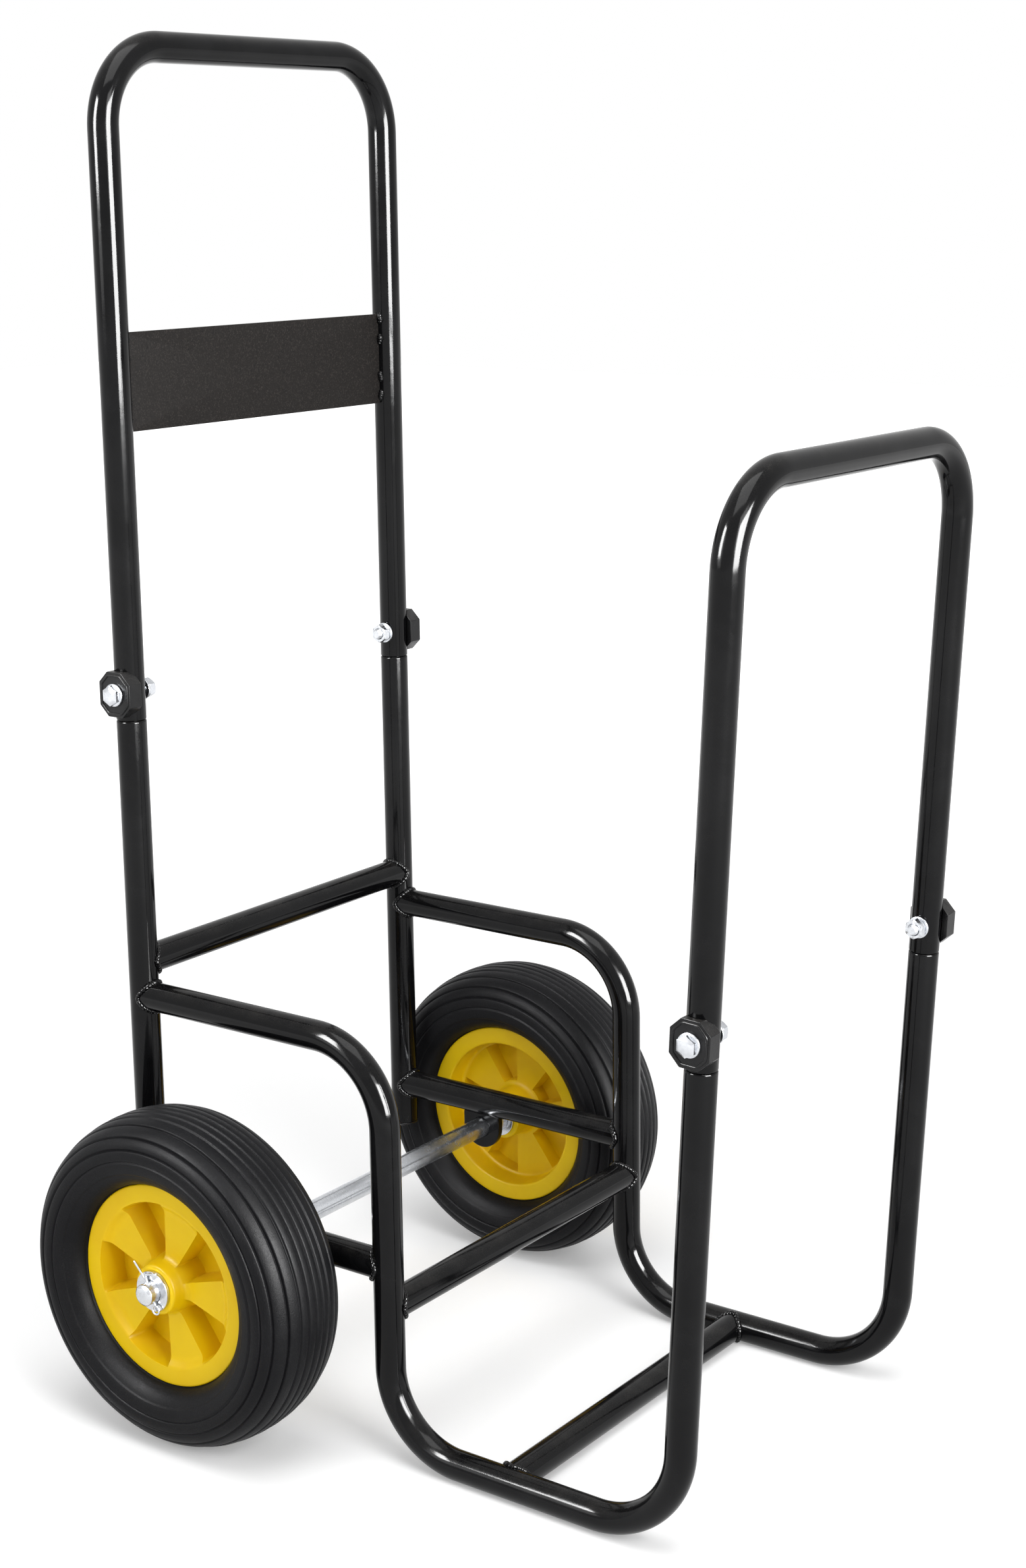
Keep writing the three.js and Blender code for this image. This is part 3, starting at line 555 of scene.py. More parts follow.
def tack_bead(sign, face, share):
    """A short upright weld bead beside a leg, on one face of the plate, at a share of its height: rings
    up z, for u from -1 to 1, whose radius is TACK (1 - u^2)^0.4 (0.8 + ripples + one lump on a side), and
    whose middle strays from the line by up to a tenth of TACK."""
    rng = np.random.default_rng(40 + 3 * sign + face + int(9 * share))
    phase = rng.uniform(0, 2 * np.pi, 4)
    u = np.sin(np.linspace(-np.pi / 2, np.pi / 2, 61))[:, None]
    turn = round_turn(2 * WELD_FACETS)[None]
    ripple = 0.2 * lapped((u + 1) / 2 * TACK_RIPPLES + phase[0], turn, rng)
    lump = 0.12 * np.cos(turn - phase[1] - 1.5 * u)
    radius = TACK * np.maximum(1 - u ** 2, 0.0005) ** 0.4 * (0.8 + ripple + lump)
    stray = 0.1 * TACK * np.sin(4 * u + phase[2:])
    x = sign * (half_width - TUBE - TACK_OFF_LEG) + stray[:, :1] + radius * np.cos(turn)
    y = rear_y + face * TACK_OFF_MIDDLE + stray[:, 1:] + radius * np.sin(turn)
    z = plate_low.z + share * (plate_high.z - plate_low.z) + u * TACK_LENGTH / 2 + 0 * turn
    return np.stack([x, y, z], -1)


tacks = [tack_bead(sign, face, share) for sign in (-1, 1) for face in (-1, 1) for share in TACK_HEIGHTS]
fitted(closed_surface("plate_tack_welds", *tacks, crease=60), *COATED)

# -------------------------------- axle hangers
# A lug of 6 mm steel plate under each axle rail, welded on and coated black. Its lower end is round, with
# the axle's hole in it.
HANGER_EDGE = 0.8 * MM
EDGE_FACETS = 3
SHARP_EDGE = math.radians(36)


def dressed_copy(node_name, name, edge):
    """A copy of a CAD node, its loose triangles joined, flat faces merged and sharp edges rounded."""
    work = bmesh.new()
    work.from_mesh(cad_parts[node_name].data)
    bmesh.ops.remove_doubles(work, verts=work.verts, dist=0.01 * MM)
    bmesh.ops.dissolve_limit(work, verts=work.verts, edges=work.edges, angle_limit=math.radians(1))
    mesh = bpy.data.meshes.new(name)
    work.to_mesh(mesh)
    work.free()
    mesh.shade_smooth()
    mesh.set_sharp_from_angle(angle=SHARP_EDGE)
    made = shown(name, mesh)
    bevel = made.modifiers.new("edges", "BEVEL")
    bevel.width = edge
    bevel.segments = EDGE_FACETS
    bevel.limit_method = "ANGLE"
    bevel.angle_limit = SHARP_EDGE
    return made


for side in SIDES:
    hanger = dressed_copy(f"axle_hanger_{side}", f"hanger_lug_{side}", HANGER_EDGE)
    fitted(hanger, *COATED, f"axle_hanger_{side}")

# -------------------------------- post plugs
# A plug moulded in black plastic closes the lower end of each rear post: a domed cap on a ribbed stem
# that grips the bore.
PLUG_BLACK = (0.0045, 0.0045, 0.005, 1)
PLUG_RUBBED = (0.009, 0.009, 0.0095, 1)
PLUG_CAP = 3 * MM
PLUG_DOME = 0.6
PLUG_RIBS = 3
PLUG_RIB_DEPTH = 0.35 * MM
PLUG_FACETS = 48

black_plastic, tree, coat, place = finish("black_plastic", sheen=0.2)
skin = effect(tree, skin_group, Place=place, Waves=300.0, Grain=2200.0)
dust = effect(tree, dust_group, Place=place, Amount=0.10)["Mask"]
tint = mixed(tree, skin["Smear"], PLUG_BLACK, PLUG_RUBBED)
feed(tree, coat["Base Color"], mixed(tree, dust, tint, DUST_PALE))
skinned(tree, coat, skin, rough=0.24, smear=0.12, depth=0.00006)
MOULDED = (black_plastic, "black_plastic", "frame")


def turned(along, radius, facets):
    """Rings about X: points (x, r cos a, r sin a). along and radius hold one value for each ring, or are
    grids that hold one for each point."""
    angle = round_turn(facets)[None]
    along, radius = np.array(along, float), np.array(radius, float)
    if along.ndim == 1:
        along, radius = along[:, None], radius[:, None]
    along, radius = np.broadcast_arrays(along + 0 * angle, radius + 0 * angle)
    return np.stack([along, radius * np.cos(angle), radius * np.sin(angle)], -1)


plug_low, plug_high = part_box("post_plug_left")
plug_r = half_size("post_plug_left")[0]
t = np.linspace(0, 1, 9)
cap_z = plug_low.z + PLUG_CAP * (1 - np.sqrt(1 - t ** 2)) * PLUG_DOME
stem_z = np.linspace(plug_low.z + PLUG_CAP, plug_high.z, 49)
rib = np.cos(np.linspace(0, 2 * np.pi * PLUG_RIBS, 49))
plug_along = np.concatenate([cap_z, [plug_low.z + PLUG_CAP * 0.9, plug_low.z + PLUG_CAP], stem_z])
plug_radius = np.concatenate([
    plug_r * np.maximum(t, 0.02), [plug_r, plug_r - 0.3 * MM], SPIGOT - PLUG_RIB_DEPTH * (1 + rib)])
for side, sign in SIDES.items():
    grid = turned(plug_along, plug_radius, PLUG_FACETS)
    grid = np.stack([sign * half_width + grid[..., 1], rear_y + grid[..., 2], grid[..., 0]], -1)
    plug = closed_surface(f"plug_{side}", grid)
    fitted(plug, *MOULDED, f"post_plug_{side}")

# -------------------------------- leg joints
# Where a hoop slips over its leg, one M8 bolt goes through both tubes. A black moulded saddle seats its
# head outboard, and a washer and a nut hold it inboard. Bolt, washer and nut are zinc plated steel.
ZINC_BRIGHT = (0.60, 0.615, 0.64, 1)
ZINC_DULL = (0.43, 0.445, 0.47, 1)
SADDLE_EDGE = 1.1 * MM
SADDLE_CORNER = 8 * MM
SADDLE_RIM = 0.9 * MM
SADDLE_RIM_INSET = 2.6 * MM
SADDLE_RIM_EASE = 1.5 * MM
HEX = 7.5 * MM
CHAMFER_SLOPE = 1.75
HEAD_HEIGHT, FLANGE_HEIGHT, FLANGE = 6 * MM, 1.5 * MM, 8.5 * MM
NUT_HEIGHT, NUT_WASHER, NUT_WASHER_RADIUS = 6.5 * MM, 1.6 * MM, 8 * MM
BOLT = 4 * MM
BOLT_FACETS = 72
THREAD_PITCH, THREAD_DEPTH, THREADED_SHARE = 1.25 * MM, 0.55 * MM, 0.4

# Plated metal: cloudy crystals under fine drawn scratches.
plate_group, given, result = effect_group(
    "plated_metal", {"Place": VECTOR, "Crystals": FLOAT, "Scratches": FLOAT}, ["Cloud", "Height"])
cells = node(plate_group, "TexVoronoi", Vector=given["Place"], Scale=given["Crystals"]).outputs["Color"]
tone = node(plate_group, "SeparateColor", Color=cells).outputs["Red"]
haze = noise(plate_group, given["Place"], 120.0, detail=5.0, rough=0.65)
clouded = maths(plate_group, "MULTIPLY_ADD", tone, 0.2, haze)
feed(plate_group, result["Cloud"], ranged(plate_group, clouded, 0.3, 1.1))
drawn = node(plate_group, "Mapping", Vector=given["Place"], Scale=(1.0, 12.0, 12.0)).outputs["Vector"]
feed(plate_group, result["Height"], noise(plate_group, drawn, given["Scratches"], detail=4.0, rough=0.7))

zinc, tree, coat, place = finish("zinc_plate")
plating = effect(tree, plate_group, Place=place, Crystals=700.0, Scratches=260.0)
feed(tree, coat["Base Color"], mixed(tree, plating["Cloud"], ZINC_BRIGHT, ZINC_DULL))
feed(tree, coat["Roughness"], maths(tree, "MULTIPLY_ADD", plating["Cloud"], 0.12, 0.2))
feed(tree, coat["Normal"], raised(tree, plating["Height"], 0.000012))
coat["Metallic"].default_value = 1.0
PLATED = (zinc, "zinc_plate", "frame")


def placed(grid, centre, sign=1, lean=0.0):
    """Turns a grid drawn with +X outboard: half a turn about Z on the left, then the leg's lean about X,
    then to centre."""
    x, y, z = sign * grid[..., 0], sign * grid[..., 1], grid[..., 2]
    y, z = y * math.cos(lean) - z * math.sin(lean), y * math.sin(lean) + z * math.cos(lean)
    return np.stack([x, y, z], -1) + np.array(centre, float)


def hexagon(angle):
    """How far a hexagon with corners at 1 reaches: cos 30 / cos(angle from the nearest flat's middle)."""
    off_flat = (angle + np.pi / 6) % (np.pi / 3) - np.pi / 6
    return math.cos(math.pi / 6) / np.cos(off_flat)


def bolt_grid(seat, tail):
    """A flanged hex bolt along -X from its head. Rings give radius r(x, a): the flange's dome, the
    hexagon cut by the cone of its chamfer, and a shank with a thread on its last stretch, r = R - depth
    |saw(x / pitch - a / 2 pi)|."""
    angle = round_turn(BOLT_FACETS)[None]
    head_x = np.array([0.0, 0.05, 0.3, 0.7, 1.2, 2.0, 4.4]) * MM
    cone = (HEX * 0.80 + head_x * CHAMFER_SLOPE)[:, None]
    dish = np.array([0.02, 0.55, 0.74, 0.86, 1, 1, 1])[:, None]
    head_r = np.minimum(HEX * hexagon(angle), cone) * dish
    flange_x = seat + FLANGE_HEIGHT * np.array([1.0, 0.82, 0.45, 0.2, 0.0])
    flange_r = FLANGE * np.array([0.9, 0.965, 1.0, 1.0, 0.97])[:, None] + 0 * angle
    shank_x = np.linspace(seat - 0.01 * MM, tail + 1 * MM, 170)
    saw = np.abs((shank_x[:, None] / THREAD_PITCH - angle / (2 * np.pi)) % 1 * 2 - 1)
    threaded = (shank_x < tail + THREADED_SHARE * (seat - tail))[:, None]
    shank_r = BOLT - np.where(threaded, THREAD_DEPTH * saw, 0)
    end_x = tail + np.array([0.6, 0.0]) * MM
    end_r = np.array([BOLT - THREAD_DEPTH, BOLT - 1.1 * MM])[:, None] + 0 * angle
    along = np.concatenate([seat + HEAD_HEIGHT - head_x, flange_x, shank_x, end_x])[:, None]
    return turned(along, np.vstack([head_r, flange_r, shank_r, end_r]), BOLT_FACETS)


def nut_grid(outer_x, height):
    """A hex nut from outer_x inboard: rings out over the hexagon, held under a chamfer cone at both
    faces, and back through the bore."""
    angle = round_turn(BOLT_FACETS)[None]
    depth = np.array([0.0, 0.0, 0.35, 0.9, 1.6]) * MM
    depth = np.concatenate([depth, height - depth[::-1]])
    near = np.minimum(depth, height - depth)[:, None]
    outer = np.minimum(HEX * hexagon(angle), HEX * 0.86 + near * CHAMFER_SLOPE)
    outer[[0, -1]] = BOLT + 0.7 * MM
    bore = np.full((2, BOLT_FACETS), BOLT + 0.15 * MM)
    along = outer_x - np.concatenate([depth, [height - 0.5 * MM, 0.5 * MM]])
    return turned(along[:, None], np.vstack([outer, bore]), BOLT_FACETS)


def washer_grid(start, end, bore, outer, edge=0.4 * MM, facets=BOLT_FACETS):
    """A flat washer or sleeve along X: a rounded rectangle turned about the axis."""
    outline = eased([(start, bore), (end, bore), (end, outer), (start, outer)], edge)
    return turned(outline[:, 0], outline[:, 1], facets)


def saddle_rim_grid(face, wide, high, corner):
    """A round bead proud of the saddle's face, along an octagon just inside its edge: at each point of
    the octagon a ring of SADDLE_RIM (sin a outboard, cos a outward)."""
    octagon = [(wide, corner - high), (wide, high - corner), (wide - corner, high), (corner - wide, high)]
    path = eased(octagon + [(-u, -v) for u, v in octagon], SADDLE_RIM_EASE)
    course = unit(np.roll(path, -1, 0) - np.roll(path, 1, 0))
    turn = round_turn(10)[None]
    return np.stack([
        face + SADDLE_RIM * np.sin(turn) + 0 * path[:, :1],
        path[:, :1] + SADDLE_RIM * np.cos(turn) * course[:, 1:],
        path[:, 1:] - SADDLE_RIM * np.cos(turn) * course[:, :1],
    ], -1)


saddle_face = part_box("joint_saddle_rear_right")[1].x - half_width
_, saddle_wide, saddle_high = half_size("joint_saddle_rear_right")
bolt_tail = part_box("joint_bolt_rear_right")[0].x - half_width
nut_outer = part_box("joint_nut_rear_right")[1].x - half_width
washer_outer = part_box("joint_washer_rear_right")[1].x - half_width
rim_grid = saddle_rim_grid(saddle_face, saddle_wide - SADDLE_RIM_INSET, saddle_high - SADDLE_RIM_INSET,
                           SADDLE_CORNER - SADDLE_RIM_INSET * 0.6)
bolt = bolt_grid(saddle_face + FIT_GAP, bolt_tail)
washer = washer_grid(washer_outer - NUT_WASHER, washer_outer, BOLT + FIT_GAP, NUT_WASHER_RADIUS)
nut = nut_grid(nut_outer, NUT_HEIGHT)
JOINTS = (("rear_left", 0.0), ("rear_right", 0.0), ("front_left", LEAN), ("front_right", LEAN))
FASTENERS = (("bolt", bolt, False, 32), ("washer", washer, True, 38), ("nut", nut, True, 32))
for name, lean in JOINTS:
    sign = -1 if name.endswith("left") else 1
    bolt_middle = mid(f"joint_bolt_{name}")
    centre = (sign * half_width, bolt_middle.y, bolt_middle.z)
    saddle = dressed_copy(f"joint_saddle_{name}", f"saddle_{name}", SADDLE_EDGE)
    fitted(saddle, *MOULDED, f"joint_saddle_{name}")
    raised_rim = closed_surface(f"saddle_rim_{name}", placed(rim_grid, centre, sign, lean), loop=True)
    fitted(raised_rim, *MOULDED)
    for kind, grid, loop, crease in FASTENERS:
        grid = placed(grid, centre, sign, lean)
        part = closed_surface(f"{kind}_{name}", grid, loop=loop, crease=crease)
        fitted(part, *PLATED, f"joint_{kind}_{name}")

# -------------------------------- axle
# One zinc plated steel rod, 16 mm thick, cut to length and chamfered at both ends. It goes through both
# hangers and both wheels.
AXLE_END_BACK = np.array([0.0, 0.0, 0.25, 1.0, 1.35, 1.6, 2.2]) * MM
AXLE_END_RADIUS = np.array([0.2, 5.6, 6.1, 7.2, 7.6, 7.85, 8.0]) * MM
AXLE_FACETS = 96
axle_r = half_size("axle")[2]
axle_centre = mid("axle")
end_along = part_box("axle")[1].x - AXLE_END_BACK
end_radius = AXLE_END_RADIUS * axle_r / AXLE_END_RADIUS[-1]
rod_along = np.concatenate([end_along, -end_along[::-1]])
rod = turned(rod_along, np.concatenate([end_radius, end_radius[::-1]]), AXLE_FACETS)
fitted(closed_surface("axle_rod", placed(rod, axle_centre)), *PLATED, "axle")

# -------------------------------- wheel washers, spacers and split pins
# All are zinc plated steel. On each side a spacer tube and a washer keep the wheel off the hanger, and a
# second washer and a split pin hold it on. The pin is one folded wire, its two legs bent apart.
PIN_WIRE = 0.85 * MM
PIN_EYE = 3.2 * MM
PIN_LEGS = ((15 * MM, 0.35), (14 * MM, -1.7))
PIN_LEG_STEPS = 26
PIN_OVERHANG = 2 * MM
PIN_TURN = 0.4


def split_pin_path():
    """The wire's line in the plane across the axle: leg, shank, round the eye and back up the shank to
    the other leg. The shanks run side by side a wire apart, each leg bends away over its first third, and
    the whole pin is turned about the axle."""
    top, low = axle_r + PIN_OVERHANG, -axle_r - PIN_OVERHANG
    halves = []
    for (length, tilt), side in zip(PIN_LEGS, (-1, 1)):
        angle = tilt * np.minimum(1, np.linspace(0, 1, PIN_LEG_STEPS) * 3)
        step = length / (PIN_LEG_STEPS - 1)
        leg = np.cumsum(np.column_stack([-np.sin(angle), np.cos(angle)]) * step, 0)
        shank = np.column_stack([np.full(12, side * PIN_WIRE), np.linspace(low, top, 12)])
        halves.append(np.vstack([shank, shank[-1] + leg]))
    a = np.linspace(np.radians(72), np.radians(-252), 41)[1:-1]
    eye = np.column_stack([PIN_EYE * np.cos(a), low - PIN_EYE + PIN_EYE * np.sin(a)])
    path = np.vstack([halves[1][::-1], eye, halves[0]])
    lean, up = math.sin(PIN_TURN), math.cos(PIN_TURN)
    return np.column_stack([path[:, 0] * up - path[:, 1] * lean, path[:, 0] * lean + path[:, 1] * up])


def wire_grid(path, radius, facets=14):
    """A wire along a line in the plane x = 0, in (y, z): rings across the line, centre + r (cos a x + sin
    a across), drawn in to round tips at both ends."""
    course = unit(np.gradient(path, axis=0))
    far = distances(path)
    tip = np.minimum(far, far[-1] - far) / radius
    thick = radius * np.sqrt(np.clip(1 - (1 - np.minimum(tip + 0.15, 1)) ** 2, 0, 1))
    turn = round_turn(facets)[None]
    x = thick[:, None] * np.cos(turn)
    y = path[:, :1] - thick[:, None] * np.sin(turn) * course[:, 1:]
    z = path[:, 1:] + thick[:, None] * np.sin(turn) * course[:, :1]
    return np.stack([x, y, z], -1)


def sleeve(part, piece_name, side, bore, *finish_and_body):
    """A washer or sleeve on the axle, as long and as wide as its CAD node, in that node's place."""
    low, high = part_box(f"{part}_{side}")
    reach = sorted(abs(v) for v in (low.x, high.x))
    grid = washer_grid(*reach, bore, (high.z - low.z) / 2, facets=AXLE_FACETS)
    grid = placed(grid, (0, axle_centre.y, axle_centre.z), SIDES[side])
    made = closed_surface(f"{piece_name}_{side}", grid, loop=True)
    fitted(made, *finish_and_body, f"{part}_{side}")


for side, sign in SIDES.items():
    for part in ("outer_washer", "inner_washer", "wheel_spacer"):
        sleeve(part, f"{part}_ring", side, axle_r + FIT_GAP, *PLATED)
    pin_centre = (mid(f"split_pin_{side}").x, axle_centre.y, axle_centre.z)
    grid = placed(wire_grid(split_pin_path(), PIN_WIRE), pin_centre, sign)
    pin = closed_surface(f"pin_wire_{side}", grid)
    fitted(pin, *PLATED, f"split_pin_{side}")

# -------------------------------- hub bushes
# A plain bush of pale nylon, moulded in one piece, is fitted in each hub and runs on the axle. It is as
# long as the hub, and its ends bear on the washers.
NYLON_PALE = (0.68, 0.665, 0.60, 1)
NYLON_AGED = (0.50, 0.47, 0.39, 1)
RUNNING_GAP = 0.35 * MM
nylon, tree, coat, place = finish("bush_nylon")
skin = effect(tree, skin_group, Place=place, Waves=400.0, Grain=2600.0)
feed(tree, coat["Base Color"], mixed(tree, skin["Smear"], NYLON_PALE, NYLON_AGED))
skinned(tree, coat, skin, rough=0.42, smear=0.1, depth=0.00003)
for side in SIDES:
    sleeve("hub_bush", "bush_sleeve", side, axle_r + RUNNING_GAP, nylon, "bush_nylon", f"wheel_{side}")

# -------------------------------- rims
# Moulded yellow plastic: a hub, a disc with five wedge-shaped spokes between five deep pockets, and a
# barrel whose two lips hold the tyre. The spokes are hollow from behind, to keep the walls even.
RIM_YELLOW = (0.755, 0.505, 0.0, 1)
RIM_DEEP = (0.71, 0.43, 0.0, 1)
# A dark brown that is painted in as shade, in the pockets and at the lip that meets the tyre.
RIM_SHADE = (0.11, 0.075, 0.02, 1)
HUB, HUB_BORE, HUB_PROUD = 19 * MM, 11.65 * MM, 8 * MM
RIM_LIP, RIM_SEAT, RIM_RING = 3 * MM, 68 * MM, 62 * MM
RIM_FACE_DEPTH, RIM_BACK_DEPTH = 4 * MM, 30 * MM
RIM_STEP = 1.1 * MM
RIM_FACETS = 300
SPOKES = 5
SPOKE_HOLLOW = 12 * MM
POCKET_ANGLE = math.radians(38.4)
POCKET_DEPTH = 18 * MM
POCKET_REACH = (20.3 * MM, 62.6 * MM)
POCKET_WALL, POCKET_WALL_ANGLE = 2.4 * MM, math.radians(2.4)
FLAT = 0.05 * MM
# How strongly the painted shade darkens the pockets, and how far it reaches from the lip by the tyre.
POCKET_SHADE, LIP_SHADE_REACH = 0.25, 1.6 * MM


def smooth(value, low, high):
    """0 under low, 1 over high, and 3t^2 - 2t^3 between."""
    t = np.clip((value - low) / (high - low), 0, 1)
    return t * t * (3 - 2 * t)


def spaced(outline, step):
    """A closed outline with points added so that none are more than about a step apart."""
    onward = np.roll(outline, -1, 0)
    counts = np.maximum(1, np.ceil(np.linalg.norm(onward - outline, axis=1) / step)).astype(int)
    share = np.concatenate([np.arange(n) / n for n in counts])[:, None]
    return np.repeat(outline, counts, 0) * (1 - share) + np.repeat(onward, counts, 0) * share


def wedge(radius, angle, first, width):
    """1 in SPOKES wedges of a width, the first centred on first, falling evenly to 0 over the walls."""
    pitch = 2 * np.pi / SPOKES
    off = np.abs((angle - first + pitch / 2) % pitch - pitch / 2)
    ends = np.minimum(radius - POCKET_REACH[0], POCKET_REACH[1] - radius) / POCKET_WALL
    return np.clip((width / 2 - off) / POCKET_WALL_ANGLE, 0, 1) * np.clip(ends, 0, 1)


def marked(tree, name):
    """A material's own reading of a value that the mesh holds at each point."""
    reading = tree.nodes.new("ShaderNodeAttribute")
    reading.attribute_name = name
    return reading.outputs["Fac"]


rim_r = half_size("rim_right")[2]
rim_half = half_size("rim_right")[0] - HUB_PROUD
hub_half = rim_half + HUB_PROUD
face, back = rim_half - RIM_FACE_DEPTH, rim_half - RIM_BACK_DEPTH
seat_edge = rim_half - RIM_LIP
seat_slope = (rim_r - RIM_SEAT) / 2
# The section of hub, disc and barrel, as corners (x, r) and the millimetres by which each is rounded.
rim_corners = np.array([
    (hub_half, HUB_BORE, 0.5), (hub_half, HUB - 0.5 * MM, 1.6), (face, HUB + 1.5 * MM, 5.0),
    (face, RIM_RING - 4.5 * MM, 3.0), (rim_half, RIM_RING, 1.8), (rim_half, rim_r, 1.3),
    (seat_edge, rim_r, 0.6), (seat_edge - seat_slope, RIM_SEAT, 1.0),
    (seat_slope - seat_edge, RIM_SEAT, 1.0), (-seat_edge, rim_r, 0.6),
    (-rim_half, rim_r, 1.3), (-rim_half, RIM_RING, 1.8),
    (back, RIM_RING - 1.5 * MM, 3.0), (back, HUB + 1.5 * MM, 5.0), (-hub_half, HUB - 0.5 * MM, 1.6),
    (-hub_half, HUB_BORE, 0.5),
])
rim_outline = spaced(eased(rim_corners[:, :2], rim_corners[:, 2] * MM), RIM_STEP)
rim_x, rim_rad = rim_outline[:, :1], rim_outline[:, 1:]
rim_angle = round_turn(RIM_FACETS)[None]
pocket = wedge(rim_rad, rim_angle, math.pi, POCKET_ANGLE) * (rim_x > face - FLAT)
pocket_cut = (rim_x - face + POCKET_DEPTH) * pocket
spoke_angle = 2 * math.pi / SPOKES - POCKET_ANGLE
hollow = wedge(rim_rad, rim_angle, math.pi + math.pi / SPOKES, spoke_angle)
hollow *= np.abs(rim_x - back) < FLAT
rim_grid = turned(rim_x - pocket_cut + SPOKE_HOLLOW * hollow, rim_rad, RIM_FACETS)
# Painted shade: a mask of 0.25 over the pockets and 1 in a thin ring at the lip where the tyre meets the
# rim.
recess_shade_mark = np.maximum(pocket * POCKET_SHADE, 1 - smooth(np.abs(rim_rad - rim_r), 0, LIP_SHADE_REACH))

yellow, tree, coat, place = finish("rim_yellow", sheen=0.16)
skin = effect(tree, skin_group, Place=place, Waves=160.0, Grain=1500.0)
cloudy = ranged(tree, noise(tree, place, 60.0, detail=5.0, rough=0.65), 0.3, 0.8)
# The painted shade, made patchy by cloudy noise, darkens the yellow towards dark brown.
recess_shade = maths(tree, "MULTIPLY", maths(tree, "MULTIPLY", marked(tree, "recess_shade"), cloudy), 0.16)
tint = mixed(tree, maths(tree, "MULTIPLY", skin["Smear"], 0.5), RIM_YELLOW, RIM_DEEP)
feed(tree, coat["Base Color"], mixed(tree, recess_shade, tint, RIM_SHADE))
skinned(tree, coat, skin, rough=0.4, smear=0.1, depth=0.00004)

# Each rim carries the painted shade mask as a value at each point.
for side, sign in SIDES.items():
    rim = closed_surface(f"rim_moulding_{side}", placed(rim_grid, mid(f"tyre_{side}"), sign), loop=True,
                         crease=50, marks={"recess_shade": recess_shade_mark})
    fitted(rim, yellow, "yellow_plastic", f"wheel_{side}", f"rim_{side}")

# -------------------------------- tyres
# Moulded black rubber, stretched over the rim's lips: a round section that bulges past the rim. Grooves
# part its tread and shoulders into crowned ribs, and below a low step the flank is smooth.
RUBBER = (0.0048, 0.0048, 0.0058, 1)
RUBBER_DUSTY = (0.020, 0.020, 0.022, 1)
TYRE_WIDEST = 100 * MM
TYRE_ACROSS_POWER, TYRE_RISE_POWER = 0.9, 0.8
TYRE_OVER_RIM, TYRE_OFF_RIM = 0.6 * MM, 0.9 * MM
TYRE_FACETS, TYRE_RINGS = 224, 190
RIB_GROOVES = np.radians([0, 9, 20, 36.5, 59, 79.5, 97.5])
GROOVE_DEPTHS = np.array([1.2, 1.2, 1.2, 2.0, 1.3, 1.2, 0.9]) * MM
GROOVE_HALF, GROOVE_POWER = 0.75 * MM, 2.5
RIB_CROWN = 0.45 * MM
STEP_AT, STEP_HEIGHT, STEP_HALF = math.radians(123), 0.5 * MM, 0.8 * MM
STEP_FADE = 6 * MM

tyre_half, _, tyre_r = half_size("tyre_right")


def tyre_skin(t):
    """A point (x, r) of the tyre's outside at a turn t from the crown: over the widest point r = w + h
    cos(t)^0.8 and x = half sin(t)^0.9, and under it an ellipse's quarter that curves in to the rim's
    edge."""
    upper = np.minimum(t, np.pi / 2)
    x = tyre_half * np.sin(upper) ** TYRE_ACROSS_POWER
    r = TYRE_WIDEST + (tyre_r - TYRE_WIDEST) * np.maximum(np.cos(upper), 0) ** TYRE_RISE_POWER
    low = np.maximum(t - np.pi / 2, 0)
    x = x - (tyre_half - rim_half - TYRE_OVER_RIM) * (1 - np.cos(low))
    r = r - (TYRE_WIDEST - rim_r - TYRE_OFF_RIM) * np.sin(low)
    return np.stack([x, r], -1)


turns = np.linspace(0, np.pi, 420)
flank = tyre_skin(turns)
far = distances(flank)
at = np.linspace(0, far[-1], TYRE_RINGS)
flank = np.column_stack([np.interp(at, far, flank[:, 0]), np.interp(at, far, flank[:, 1])])
course = np.gradient(flank, axis=0)
outward = unit(np.column_stack([-course[:, 1], course[:, 0]]))
outward *= np.sign(outward[len(outward) // 3, 0])
groove_at = np.interp(RIB_GROOVES, turns, far)
groove = np.exp(-(np.abs((at[:, None] - groove_at[None]) / GROOVE_HALF) ** GROOVE_POWER))
cut = (groove * GROOVE_DEPTHS).max(1)
groove = groove.max(1)
place_in_rib = np.interp(at, groove_at, np.arange(len(groove_at)))
crowned = RIB_CROWN * (1 - np.abs(np.sin(np.pi * place_in_rib))) * (at < groove_at[-1])
step_at = np.interp(STEP_AT, turns, far)
step = STEP_HEIGHT * smooth(at, step_at - STEP_HALF, step_at + STEP_HALF)
flank = flank - outward * (cut + crowned + step * smooth(-at, -far[-1], STEP_FADE - far[-1]))[:, None]
seat = np.array([
    (rim_half, rim_r + FIT_GAP), (seat_edge - FIT_GAP, rim_r + FIT_GAP),
    (seat_edge - seat_slope - FIT_GAP, RIM_SEAT + FIT_GAP),
])
half_outline = np.vstack([flank, seat])
tyre_outline = np.vstack([half_outline, (half_outline * [-1, 1])[::-1][:-1]])
in_seat = np.zeros(2 * len(seat))
groove_mark = np.concatenate([groove, in_seat, groove[::-1][:-1]])
tyre_marks = {"groove": np.repeat(groove_mark[:, None], TYRE_FACETS, 1)}
tyre_grid = turned(tyre_outline[:, 0], tyre_outline[:, 1], TYRE_FACETS)

